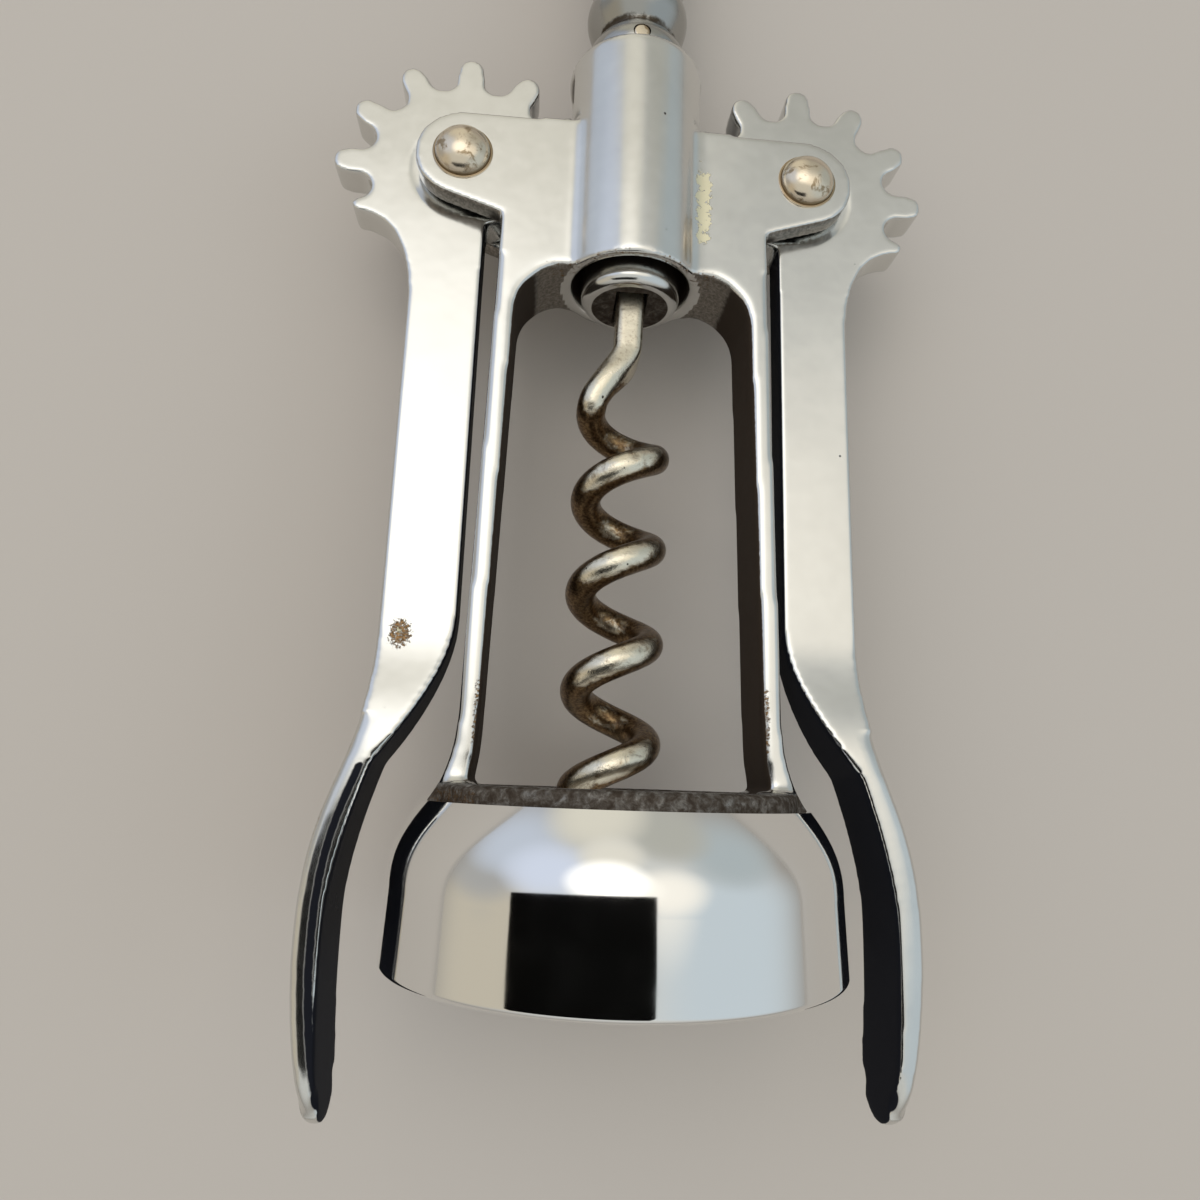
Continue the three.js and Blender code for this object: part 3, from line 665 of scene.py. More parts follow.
def mirror_metal():
    """The bell's mirror plating, with a few pits and a faint haze."""
    finish = bpy.context.scene.corkscrew_finish
    material, nodes, shader = new_metal("mirror_plating")
    place = nodes.own_place()
    dull = wear_and_light_shares(nodes)[0]
    crust = nodes.noise(place, 0.9, 5.0, 0.6)
    haze = nodes.noise(place, 0.3, 4.0)
    pits = nodes.maths("MAXIMUM", nodes.pits(place, 0.3, 0.09, 0.14), nodes.pits(place, 0.8, 0.04, 0.07))
    dull_mask = patchy(nodes, dull, crust, 0.8, 0.25)
    colour = nodes.blend(dull_mask, opaque(finish.mirror), opaque(finish.haze))
    colour = nodes.blend(pits, colour, opaque(finish.pit))
    roughness = summed(nodes, nodes.spread(haze, 0.35, 0.75, 0.055, 0.085), (dull_mask, 0.25))
    relief = summed(nodes, nodes.times(nodes.noise(place, 0.12, 1.0), 0.5), (pits, -1.0))
    finish_metal(nodes, shader, colour, roughness, relief)
    return material


def rivet_metal():
    """Warm metal, rubbed bright on top and tarnished in patches and round the heads' feet."""
    finish = bpy.context.scene.corkscrew_finish
    material, nodes, shader = new_metal("tarnished_rivet")
    place = nodes.own_place()
    foot = wear_and_light_shares(nodes)[0]
    cloud = nodes.noise(place, 0.55, 5.0, 0.65, 0.5)
    grain = nodes.noise(place, 5.0, 3.0)
    tarnish = nodes.maths("MAXIMUM", patchy(nodes, foot, cloud, 0.9, 0.3), nodes.spread(cloud, 0.53, 0.62))
    colour = nodes.blend(nodes.times(tarnish, 0.9), opaque(finish.rivet), opaque(finish.tarnish))
    colour = nodes.blend(nodes.pits(place, 0.9, 0.15, 0.14), colour, opaque(finish.pit))
    roughness = summed(nodes, nodes.spread(cloud, 0.3, 0.7, 0.17, 0.24), (tarnish, 0.1))
    relief = summed(nodes, nodes.times(cloud, 0.35), (grain, 0.06))
    finish_metal(nodes, shader, colour, roughness, relief)
    return material


def rack_metal():
    """Turned steel with dirt between the rack's teeth."""
    finish = bpy.context.scene.corkscrew_finish
    material, nodes, shader = new_metal("turned_steel")
    place = nodes.own_place()
    valley = wear_and_light_shares(nodes)[0]
    crust = nodes.noise(place, 1.1, 5.0, 0.65)
    rings = nodes.noise(nodes.stretched(place, (0.05, 7.0, 0.05)), 1.0, 2.0)
    dirt = patchy(nodes, valley, crust, 0.9, 0.3)
    colour = nodes.blend(dirt, opaque(finish.steel), opaque(finish.dirt))
    colour = nodes.blend(nodes.pits(place, 0.7, 0.15, 0.13), colour, opaque(finish.pit))
    roughness = summed(nodes, nodes.spread(rings, 0.3, 0.7, 0.14, 0.24), (dirt, 0.25))
    relief = summed(nodes, nodes.times(rings, 0.1), (dirt, 0.3))
    finish_metal(nodes, shader, colour, roughness, relief)
    return material


def worm_metal():
    """Pale steel under a brown patina that also carries painted shade and a painted highlight, with black
    pits.
    """
    finish = bpy.context.scene.corkscrew_finish
    material, nodes, shader = new_metal("browned_steel")
    place = nodes.own_place()
    patina_and_painted_light, ground = wear_and_light_shares(nodes)[:2]
    crust = nodes.noise(place, 0.8, 6.0, 0.7, 0.5)
    grain = nodes.noise(place, 3.5, 4.0, 0.65)
    # The patina mask also paints shade inside the coil and a highlight on faces that turn to the front.
    patina = nodes.spread(nodes.maths("SUBTRACT", patina_and_painted_light, crust), -0.08, 0.2)
    brown = nodes.blend(nodes.spread(grain, 0.35, 0.7), opaque(finish.patina), opaque(finish.light_patina))
    colour = nodes.blend(patina, opaque(finish.shank), brown)
    speckle = nodes.times(nodes.spread(grain, 0.52, 0.62), nodes.times(ground, 0.3))
    colour = nodes.blend(speckle, colour, opaque(finish.light_patina))
    pits = nodes.maths("MAXIMUM", nodes.pits(place, 0.8, 0.22, 0.2), nodes.pits(place, 1.9, 0.2, 0.1))
    pits = nodes.times(pits, nodes.maths("SUBTRACT", 1.0, ground))
    colour = nodes.blend(nodes.times(pits, 0.9), colour, opaque(finish.pit))
    roughness = summed(nodes, nodes.spread(crust, 0.3, 0.7, 0.18, 0.27), (patina, 0.1), (ground, 0.12))
    relief = summed(nodes, nodes.times(crust, 0.9), (grain, 0.2), (pits, -1.0))
    finish_metal(nodes, shader, colour, roughness, relief, WORM_RELIEF_DEPTH)
    return material


# Frame casting


def frame_half(sizes):
    """The right half of the casting's outline, from the crossbar's top round to the window."""
    ear = Vector((PIVOT_OFFSET, sizes.pivot_height))
    corner = Vector((sizes.leg_top_outer, sizes.ear_corner_height))
    to_corner = corner - ear
    touch = math.atan2(to_corner.y, to_corner.x) + math.acos(sizes.ear_radius / to_corner.length)
    flare_top = sizes.ring_bottom + sizes.leg_flare_height
    inner_top = sizes.leg_top_outer - sizes.leg_thickness
    inner_foot = sizes.leg_foot_outer - sizes.leg_thickness
    corner_y = sizes.window_top - sizes.window_corner
    foot = Vector((sizes.leg_foot_outer + sizes.leg_flare_width, sizes.ring_bottom))
    pull_level = sizes.ring_bottom + sizes.leg_flare_height / 3
    pull = Vector((sizes.leg_foot_outer, pull_level))
    half = [Vector((0, sizes.pivot_height + sizes.ear_radius + sizes.ear_top_rise))]
    half += arc(ear, sizes.ear_radius, QUARTER, touch - math.tau if touch > QUARTER else touch, 24)
    half += [corner]
    half += bow((sizes.leg_foot_outer, flare_top), pull, foot)
    inner_end = (inner_foot + sizes.leg_flare_width / 2, sizes.ring_bottom)
    half += bow(inner_end, (inner_foot, pull_level), (inner_foot, flare_top))
    half += arc((inner_top - sizes.window_corner, corner_y), sizes.window_corner, 0, QUARTER)
    return half + [Vector((0, sizes.window_top))]


def barrel_hollows(sizes):
    """The barrel's core with the hollows that lead from the crossbar's faces up to the barrel."""
    hollow = sizes.barrel_fillet
    face = sizes.depth / 2
    reach = sizes.barrel_radius + hollow
    centre = (math.sqrt(reach**2 - (face + hollow) ** 2), face + hollow)
    toward_axis = math.atan2(centre[1], centre[0]) - math.pi
    side = arc(centre, hollow, -QUARTER, toward_axis)
    front = side + mirrored(side)
    back = [Vector((p.x, -p.y)) for p in reversed(front)]
    core = slab(front + back, sizes.window_top, sizes.pivot_height + sizes.ear_radius)
    bmesh.ops.rotate(core, verts=core.verts, cent=(0, 0, 0), matrix=Matrix.Rotation(-QUARTER, 3, "X"))
    return core


def frame_solid(sizes, bell):
    """Ears and crossbar, barrel, legs and ring in one casting."""
    half = frame_half(sizes)
    outline = half[:-1] + mirrored(half)[:-1]
    plate = slab(outline, -sizes.depth / 2, sizes.depth / 2)
    chamfer = sizes.bore_chamfer
    barrel = turned(
        [
            (0, sizes.window_top),
            (sizes.barrel_radius, sizes.window_top),
            (sizes.barrel_radius, sizes.barrel_top - chamfer),
            (sizes.barrel_radius - chamfer, sizes.barrel_top),
            (0, sizes.barrel_top),
        ],
        FACETS,
    )
    ring_top = sizes.ring_bottom + sizes.ring_height
    ring = rod(sizes.ring_outer, sizes.ring_bottom, ring_top, FACETS)
    overrun = sizes.depth
    bore = turned(
        [
            (0, sizes.window_top - overrun),
            (sizes.bore_radius + chamfer, sizes.window_top - overrun),
            (sizes.bore_radius + chamfer, sizes.window_top),
            (sizes.bore_radius, sizes.window_top + chamfer),
            (sizes.bore_radius, sizes.barrel_top - chamfer),
            (sizes.bore_radius + 2 * chamfer, sizes.barrel_top + chamfer),
            (0, sizes.barrel_top + chamfer),
        ],
        FACETS,
    )
    cuts = [rod(bell.mouth_radius, sizes.ring_bottom - overrun, ring_top + overrun, FACETS), bore]
    slot_height = sizes.barrel_top - sizes.slot_bridge - sizes.pivot_height
    slot_y = sizes.pivot_height + slot_height / 2
    for side in (-1, 1):
        pivot = side * PIVOT_OFFSET
        half_slot = sizes.slot_width / 2
        slot_x = side * sizes.barrel_radius
        cuts.append(cross_rod(sizes.slot_radius, pivot, sizes.pivot_height, -half_slot, half_slot, FACETS))
        cuts.append(block(sizes.barrel_radius, slot_height, sizes.slot_width, slot_x, slot_y, 0))
        cuts.append(cross_rod(sizes.rivet_hole, pivot, sizes.pivot_height, -overrun, overrun))
    joined = combined(plate, "UNION", [barrel, ring, barrel_hollows(sizes)])
    return combined(joined, "DIFFERENCE", cuts)


def frame_soft_zone(sizes):
    """Says where the casting is rounder: its legs and the window's edge, but not the barrel's end."""
    top = sizes.window_top + sizes.barrel_fillet / 2
    barrel = sizes.barrel_radius + sizes.barrel_fillet / 4
    corners = sizes.window_top - sizes.window_corner

    def where(place):
        return place.y < top and (place.xz.length > barrel or place.y < corners)

    return where


def frame_wear_and_shade(sizes):
    """Bare casting inside the window, rust at the feet, flakes beside the barrel and a dull ring, with
    painted shade on the legs' inner sides, in the bore and on the ring.
    """
    window_top = sizes.window_top / MM
    leg_inner = (sizes.leg_foot_outer - sizes.leg_thickness) / MM
    face = sizes.depth / 2 / MM
    barrel = sizes.barrel_radius / MM
    foot = sizes.ring_bottom / MM
    ring_top = foot + sizes.ring_height / MM
    margin = 1
    corner_reach = 5
    ring_fade = (ring_top + 0.4, ring_top - 0.1)
    rust_fade = (foot + 3.6, foot + 1.2)
    rust_side_fade = (leg_inner - 1.5, leg_inner)
    edge_fade = (1.3, 0.4)
    pitted_level = 21
    pitted_fade = (6, 2)
    speckled_fade = (1.1, 0.2)
    speckled_side_fade = (11, 8)
    flaked_side = 6.9
    flaked_side_fade = (1.7, 0.3)
    flaked_level = 73.5
    flaked_fade = (9, 2)
    ring_share = 0.5
    left_rust_share = 0.56
    right_rust_share = 0.4
    pitted_share = 0.56
    speckled_share = 0.46
    flaked_share = 0.66
    painted_leg_shade_share = 0.75
    painted_ring_shade_share = 0.8

    def wear_and_painted_light(place, normal):
        """The shares of bare casting, stain, flaking and painted shade."""
        radius = place.xz.length
        across = abs(place.x)
        outward = normal.x * math.copysign(1, place.x)
        on_leg = foot < place.y < window_top + margin and across > barrel
        inward = smoothstep(0.45, 0.85, -outward) if on_leg else 0
        near_window = place.y > window_top - corner_reach and radius > barrel
        below = smoothstep(0.45, 0.85, -normal.y) if near_window else 0
        bore = 1 if radius < barrel - margin / 2 and place.y > window_top + margin / 2 else 0
        on_ring = place.y < ring_top + 0.3 * margin and radius > leg_inner - margin
        ring = smoothstep(*ring_fade, place.y) * (ring_share if on_ring else 0)
        rust = left_rust_share if place.x < 0 else right_rust_share
        rust *= smoothstep(*rust_fade, place.y) * smoothstep(*rust_side_fade, across)
        pitted = smoothstep(*edge_fade, abs(across - leg_inner)) * (place.z > face - margin)
        pitted *= pitted_share * smoothstep(*pitted_fade, abs(place.y - pitted_level))
        speckled = smoothstep(*speckled_fade, abs(place.y - window_top)) * (place.z > face / 2)
        speckled *= speckled_share * smoothstep(*speckled_side_fade, across)
        flaked = smoothstep(*flaked_side_fade, abs(place.x - flaked_side)) * (place.z > 0)
        flaked *= flaked_share * smoothstep(*flaked_fade, abs(place.y - flaked_level))
        # Painted shade: darkens the legs' inner sides, the bore and the ring.
        dark = max(painted_leg_shade_share * inward, bore, painted_ring_shade_share * ring)
        return max(inward, below, bore, ring), max(rust, pitted, speckled), flaked, dark

    return wear_and_painted_light


class CORKSCREW_OT_frame(bpy.types.Operator):
    """Models the frame casting"""

    bl_idname = "corkscrew.add_frame"
    bl_label = "Frame"

    def execute(self, context):
        sizes = context.scene.corkscrew_frame
        voxel = 0.28 * MM
        casting = cast(frame_solid(sizes, context.scene.corkscrew_bell), voxel)
        soften(casting, 4)
        soften(casting, 12, frame_soft_zone(sizes))
        metal = plating_metal("frame_plating", 0.6)
        add_piece(casting, "frame_casting", "stand", ["frame"], metal, wear_and_painted_light=frame_wear_and_shade(sizes))
        return {"FINISHED"}


# Bell


def bell_profile(sizes):
    """The section of the bell's wall, from its rim round its shoulder and back inside."""
    outer = BELL_RADIUS - sizes.taper
    cone_foot = (outer - sizes.cone_inset, sizes.cone_foot)
    top = (sizes.top_radius, sizes.height)
    rim = sizes.rim_round
    lip = sizes.rim_round_inner
    wall_inner = BELL_RADIUS - sizes.wall
    ledge = (sizes.ledge_radius, sizes.height - sizes.top_thickness)
    profile = arc((BELL_RADIUS - rim, rim), rim, -QUARTER, 0, 8)
    profile += bow((outer, sizes.shoulder_base), (outer, sizes.shoulder_bend), cone_foot, top, steps=40)
    profile += arc((sizes.mouth_radius + lip, sizes.height - lip), lip, QUARTER, 2 * QUARTER, 6)
    profile += [Vector((sizes.mouth_radius, sizes.height - sizes.top_thickness))]
    profile += bow(ledge, (wall_inner, sizes.shoulder_bend), (wall_inner, sizes.shoulder_base), steps=16)
    return profile + arc((wall_inner + lip, lip), lip, 2 * QUARTER, 3 * QUARTER, 6)


def bell_wear(sizes):
    """The flat top under the ring and the bell's inside are dull."""
    mouth = sizes.mouth_radius / MM
    height = sizes.height / MM
    inner = (BELL_RADIUS - sizes.wall) / MM
    top_fade = (height - 0.2, height - 0.02)
    ring_fade = (mouth + 5, mouth + 4.8)
    inside_radius = inner + 0.1
    inside_top = height - 1

    def wear_and_painted_light(place, normal):
        """The share of dullness."""
        radius = math.hypot(place.x, place.z)
        on_top = smoothstep(*top_fade, place.y) * smoothstep(*ring_fade, radius)
        faces_axis = normal.x * place.x + normal.z * place.z <= 0
        inside = 1 if faces_axis and radius < inside_radius and place.y < inside_top else 0
        return (max(on_top, inside),)

    return wear_and_painted_light


class CORKSCREW_OT_bell(bpy.types.Operator):
    """Models the bell"""

    bl_idname = "corkscrew.add_bell"
    bl_label = "Bell"

    def execute(self, context):
        sizes = context.scene.corkscrew_bell
        cup = turned(bell_profile(sizes), 256, closed=True)
        add_piece(
            cup,
            "bell_cup",
            "stand",
            ["bell"],
            mirror_metal(),
            sharp_above=math.radians(40),
            wear_and_painted_light=bell_wear(sizes),
        )
        return {"FINISHED"}


# Levers


def lever_outline(sizes):
    """A lever's outline about its pivot, with the rack toward +X and the handle toward +Y."""
    step = math.tau / sizes.teeth_per_turn
    tip_centre = sizes.tip_radius - sizes.tip_round
    valley_centre = sizes.root_radius + sizes.valley_round
    arm_outer = sizes.arm_inner - sizes.arm_width
    web = sizes.web_angle
    points = [Vector((sizes.arm_inner, -sizes.web_drop))]
    points += [Vector((sizes.root_radius * math.cos(web), sizes.root_radius * math.sin(web)))]
    for tooth in range(sizes.teeth):
        tip = tooth * step
        valley = tip + step / 2
        centre = (tip_centre * math.cos(tip), tip_centre * math.sin(tip))
        points += arc(centre, sizes.tip_round, tip - QUARTER, tip + QUARTER)
        centre = (valley_centre * math.cos(valley), valley_centre * math.sin(valley))
        points += arc(centre, sizes.valley_round, valley - QUARTER, valley - 3 * QUARTER)
    last = sizes.last_angle
    last_centre = sizes.last_radius - sizes.last_round
    centre = (last_centre * math.cos(last), last_centre * math.sin(last))
    points += arc(centre, sizes.last_round, last - QUARTER, last + math.pi / 3)
    notch_end = (arm_outer, -sizes.web_drop - sizes.notch_depth)
    points += bow(points[-1], (arm_outer, -sizes.web_drop), notch_end, steps=24)
    return points + blade_outline(sizes, arm_outer)


def blade_outer_side(sizes):
    """The arm's lower end and the blade, along their outer side down to the tip."""
    arm_outer = sizes.arm_inner - sizes.arm_width
    arm_end = -sizes.arm_length
    widest = arm_outer - sizes.blade_bulge
    widest_level = arm_end - sizes.blade_bulge_drop
    swing_level = arm_end - sizes.blade_bulge_drop / 2
    pull_level = (widest_level - sizes.blade_reach) / 2
    tip = (widest + sizes.tip_inset, -sizes.blade_reach)
    swing = ((arm_outer, swing_level), (widest, swing_level))
    points = bow((arm_outer, arm_end), *swing, (widest, widest_level), steps=32)
    return points + bow((widest, widest_level), (widest, pull_level), tip, steps=24)[1:]


def blade_outline(sizes, arm_outer):
    """The arm's lower end, from its outer side round the blade's tip to its inner side."""
    arm_end = -sizes.arm_length
    widest_level = arm_end - sizes.blade_bulge_drop
    pull_level = (widest_level - sizes.blade_reach) / 2
    inner = arm_outer - sizes.blade_bulge + sizes.blade_thickness
    neck_level = arm_end - sizes.neck_drop
    neck = (arm_outer + sizes.neck_inside, neck_level)
    points = blade_outer_side(sizes)
    tip_inner = (points[-1].x + sizes.tip_thickness, -sizes.blade_reach)
    points += bow(tip_inner, (inner, pull_level), (inner, widest_level), steps=24)
    points += bow((inner, widest_level), (inner, widest_level + sizes.neck_drop / 2), neck, steps=16)[1:]
    arm_pull = (sizes.arm_inner, arm_end - sizes.neck_drop / 4)
    return points + bow(neck, arm_pull, (sizes.arm_inner, arm_end + sizes.neck_drop / 4), steps=16)[1:]


def lever_front(sizes):
    """How wide a lever is from front to back: the arm, the blade's flare and its round tip."""
    arm = sizes.thickness / 2
    blade = sizes.blade_width / 2
    flare_top = -sizes.arm_length + sizes.blade_flare / 5
    half = [Vector((arm, 2 * sizes.tip_radius))]
    steps = 24
    for step in range(steps + 1):
        share = step / steps
        width = arm + (blade - arm) * smoothstep(0, 1, share)
        half.append(Vector((width, flare_top - sizes.blade_flare * share)))
    tip = -sizes.blade_reach + sizes.blade_tip
    half += arc((0, tip), (blade, sizes.blade_tip), 0, -QUARTER, 24)
    return half[:-1] + mirrored(half)


class CORKSCREW_OT_levers(bpy.types.Operator):
    """Models both toothed levers"""

    bl_idname = "corkscrew.add_levers"
    bl_label = "Levers"

    def execute(self, context):
        for side, name in ((-1, "left_lever"), (1, "right_lever")):
            add_lever(context.scene.corkscrew_lever, side, name)
        return {"FINISHED"}


def oriented(points, side):
    """An outline about the pivot, turned to its side: the rack lies toward the axis."""
    return [Vector((-side * p.x, p.y)) for p in points]


def add_lever(sizes, side, name):
    """Models one lever and gives it its marks and painted shade."""
    frame_sizes = bpy.context.scene.corkscrew_frame
    pivot = Vector((side * PIVOT_OFFSET, frame_sizes.pivot_height, 0))
    across = sizes.blade_width
    outline = oriented(lever_outline(sizes), side)
    plate = slab(outline, -across, across)
    front = slab(lever_front(sizes), -2 * sizes.tip_radius, 2 * sizes.tip_radius)
    bmesh.ops.rotate(front, verts=front.verts, cent=(0, 0, 0), matrix=Matrix.Rotation(QUARTER, 3, "Y"))
    low = sizes.thickness / 2 - sizes.hub_depth
    cuts = [
        cross_rod(sizes.rivet_hole, 0, 0, -across, across),
        cross_rod(sizes.hub_radius, 0, 0, low, across),
        cross_rod(sizes.hub_radius, 0, 0, -across, -low),
    ]
    shared = combined(plate, "INTERSECT", [front])
    body = combined(shared, "DIFFERENCE", cuts)
    bmesh.ops.translate(body, verts=body.verts, vec=pivot)
    voxel = 0.2 * MM
    casting = cast(body, voxel)
    soften(casting, 6)
    arm_top = pivot.y - sizes.web_drop - sizes.notch_depth / 2
    soften(casting, 6, lambda place: place.y < arm_top)
    soften(casting, 60, blade_outer_edges(sizes, side, pivot))
    metal = plating_metal(name + "_plating", 0.6)
    add_piece(
        casting,
        name + "_casting",
        name.replace("lever", "wing"),
        [name],
        metal,
        wear_and_painted_light=lever_wear_and_shade(sizes, side, pivot),
    )


def depth_in_blade(sizes, side, pivot):
    """Tells how far a place lies inside a lever's outer side."""
    outer = blade_outer_side(sizes)[::-1]
    levels = [point.y for point in outer]

    def depth(place):
        """The depth of a place, measured across."""
        level = min(max(place.y - pivot.y, levels[0]), levels[-1])
        index = min(max(bisect.bisect(levels, level), 1), len(levels) - 1)
        below, above = outer[index - 1], outer[index]
        side_x = below.x + (above.x - below.x) * (level - below.y) / (above.y - below.y)
        return -side * (place.x - pivot.x) - side_x

    return depth


def blade_outer_edges(sizes, side, pivot):
    """Says where the blade's outer edges are well rounded."""
    depth = depth_in_blade(sizes, side, pivot)
    reach = sizes.outer_round
    flare = pivot.y - sizes.arm_length - sizes.blade_flare / 2
    face = sizes.blade_width / 2

    def where(place):
        return place.y < flare and abs(place.z) > face - reach and depth(place) < reach

    return where


def lever_wear_and_shade(sizes, side, pivot):
    """A brown blemish on the left arm and stained outer sides, with painted shade on both levers' inner sides
    and a painted reflection of a dark card in a strip along the left blade's front and back.
    """
    arm_end = (pivot.y - sizes.arm_length) / MM
    gear_end = (pivot.y - sizes.web_drop) / MM
    arm_face = sizes.thickness / 2 / MM
    blade_face = sizes.blade_width / 2 / MM
    depth_in = depth_in_blade(sizes, side, pivot)
    strip_top = pivot.y / MM - 60.6
    strip_depth = 1.74
    strip_half = 0.38
    strip_fade = 0.7
    strip_top_fade = 0.5
    strip_edge_share = 0.33
    gear_fade = (gear_end + 1, gear_end - 2)
    blemish_x = -20.4
    blemish_y = 28.2
    blemish_stretch = 1.4
    blemish_fade = (2.3, 0.5)
    blemish_stain_share = 0.62
    blemish_flaked_share = 0.42
    outer_level = arm_end - 12
    outer_fade = (14, 3)
    outer_share = 0.46 if side < 0 else 0.38

    def wear_and_painted_light(place, normal):
        """The shares of bare casting, stain, flaking and painted shade."""
        # Painted shade: the inner sides below the gears are darkened, standing in for the shade and dark
        # reflections there.
        inner = smoothstep(0.55, 0.85, -side * normal.x) * smoothstep(*gear_fade, place.y)
        # Painted reflection: a dark strip near the left blade's outer side, on its front and back, stands in
        # for a dark card's reflection.
        edge = 0.0
        if side < 0 and place.y < strip_top and abs(place.z) > (arm_face + blade_face) / 2:
            off_strip = abs(depth_in(place * MM) / MM - strip_depth)
            edge = min(max(strip_edge_share + (strip_half - off_strip) / strip_fade, 0), 1)
            edge *= smoothstep(strip_top, strip_top - strip_top_fade, place.y)
        stain = 0.0
        flaked = 0.0
        if side < 0 and place.z > 0:
            off_blemish = Vector((place.x - blemish_x, (place.y - blemish_y) / blemish_stretch)).length
            stain = blemish_stain_share * smoothstep(*blemish_fade, off_blemish)
            flaked = blemish_flaked_share * smoothstep(*blemish_fade, off_blemish)
        outer = smoothstep(0.3, 0.8, side * normal.x) * smoothstep(*outer_fade, abs(place.y - outer_level))
        stain = max(stain, outer_share * outer)
        return 0, stain, flaked, max(inner, edge)

    return wear_and_painted_light


# Rivets and pins


def rivet_profile(sizes):
    """Half of a rivet's section, from its middle out over one domed head."""
    seat = sizes.seat
    foot = [(sizes.radius, 0), (sizes.radius, seat - sizes.burr_height)]
    burr = [(sizes.burr_radius, seat - sizes.burr_height), (sizes.burr_radius, seat)]
    burr_pull = (sizes.head_radius, seat + sizes.burr_height)
    burr += [(p.x, p.y) for p in bow(burr[-1], burr_pull, (sizes.head_radius, seat))]
    dome = arc((0, seat), (sizes.head_radius, sizes.head_height), 0, QUARTER, 24)
    return [Vector(p) for p in foot + burr] + dome


def rivet_wear(sizes):
    """Tarnish that gathers at the head's foot."""
    seat = sizes.seat / MM
    height = sizes.head_height / MM
    foot_fade = (seat + 0.5 * height, seat + 0.1 * height)
    tarnish_share = 0.8

    def wear_and_painted_light(place, normal):
        """The share of tarnish."""
        return (tarnish_share * smoothstep(*foot_fade, abs(place.z)) * (abs(place.z) > seat),)

    return wear_and_painted_light


class CORKSCREW_OT_rivets(bpy.types.Operator):
    """Models both rivets"""

    bl_idname = "corkscrew.add_rivets"
    bl_label = "Rivets"

    def execute(self, context):
        sizes = context.scene.corkscrew_rivet
        pivot_height = context.scene.corkscrew_frame.pivot_height
        metal = rivet_metal()
        for side, name in ((-1, "left_rivet"), (1, "right_rivet")):
            upper = rivet_profile(sizes)
            lower = [Vector((p.x, -p.y)) for p in reversed(upper)]
            body = facing_front(turned(lower[:-1] + upper[1:], 96), side * PIVOT_OFFSET, pivot_height)
            add_piece(
                body,
                name + "_head",
                "stand",
                [name],
                metal,
                sharp_above=math.radians(40),
                wear_and_painted_light=rivet_wear(sizes),
            )
        return {"FINISHED"}


def pin(radius, x, y, back, front):
    """A pin from back to front with rounded ends."""
    edge = radius / 3
    half = [Vector((0, back))] + arc((radius - edge, back + edge), edge, -QUARTER, 0, 6)
    half += arc((radius - edge, front - edge), edge, 0, QUARTER, 6) + [Vector((0, front))]
    return facing_front(turned(half, 48), x, y)


# Rack and spindle


def bead_radius(sizes, height):
    """The rack's radius at a height: rounded beads with a valley level with the pivots."""
    pivot_height = bpy.context.scene.corkscrew_frame.pivot_height
    wave = (1 - math.cos(math.tau * (height - pivot_height) / sizes.pitch)) / 2
    return sizes.root_radius + (sizes.crest_radius - sizes.root_radius) * math.sqrt(wave)


def rack_profile(sizes):
    """The rack's section: beads below, a plain collar on top and the spindle's bore."""
    pivot_height = bpy.context.scene.corkscrew_frame.pivot_height
    last_valley = pivot_height + 6 * sizes.pitch
    profile = [Vector((sizes.bore, sizes.bottom)), Vector((sizes.head_radius, sizes.bottom))]
    steps = 24
    height = sizes.bottom + sizes.pitch / steps
    while height < last_valley:
        profile.append(Vector((bead_radius(sizes, height), height)))
        height += sizes.pitch / steps
    rise = sizes.top_radius - sizes.root_radius
    edge = rise / 3
    profile += arc((sizes.top_radius - edge, last_valley + rise), edge, -QUARTER, 0, 6)
    profile += arc((sizes.top_radius - edge, sizes.top - edge), edge, 0, QUARTER, 6)
    return profile + [Vector((sizes.bore, sizes.top))]


def rack_wear(sizes):
    """Dirt between the beads."""
    clean_crest = 0.7 * MM
    dirt_share = 0.75

    def wear_and_painted_light(place, normal):
        """The share of dirt."""
        radius = math.hypot(place.x, place.z) * MM
        return (dirt_share * smoothstep(sizes.crest_radius - clean_crest, sizes.root_radius, radius),)

    return wear_and_painted_light


class CORKSCREW_OT_rack(bpy.types.Operator):
    """Models the rack and its retaining pin"""

    bl_idname = "corkscrew.add_rack"
    bl_label = "Rack"

    def execute(self, context):
        scene = context.scene
        sizes = scene.corkscrew_rack
        radius = scene.corkscrew_rivet.retainer
        height = scene.corkscrew_frame.pivot_height + 2.5 * sizes.pitch
        hole_gap = 0.02 * MM
        spindle_gap = 0.3 * MM
        crest_gap = 0.1 * MM
        hole = cross_rod(radius + hole_gap, 0, height, 0, 2 * sizes.crest_radius, 48)
        rack = combined(turned(rack_profile(sizes), 128, closed=True), "DIFFERENCE", [hole])
        edges = math.radians(35)
        add_piece(
            rack, "rack_turned", "rack_sleeve", ["rack"], rack_metal(), edges, rack_wear(sizes)
        )
        inner = sizes.spindle_radius - spindle_gap
        retainer = pin(radius, 0, height, -sizes.crest_radius + crest_gap, -inner)
        half_turn = Matrix.Rotation(math.pi, 3, "Y")
        bmesh.ops.rotate(retainer, verts=retainer.verts, cent=(0, height, 0), matrix=half_turn)
        metal = rivet_metal()
        add_piece(
            retainer, "rack_retainer_pin", "rack_sleeve", ["rack_retainer"], metal, edges
        )
        return {"FINISHED"}


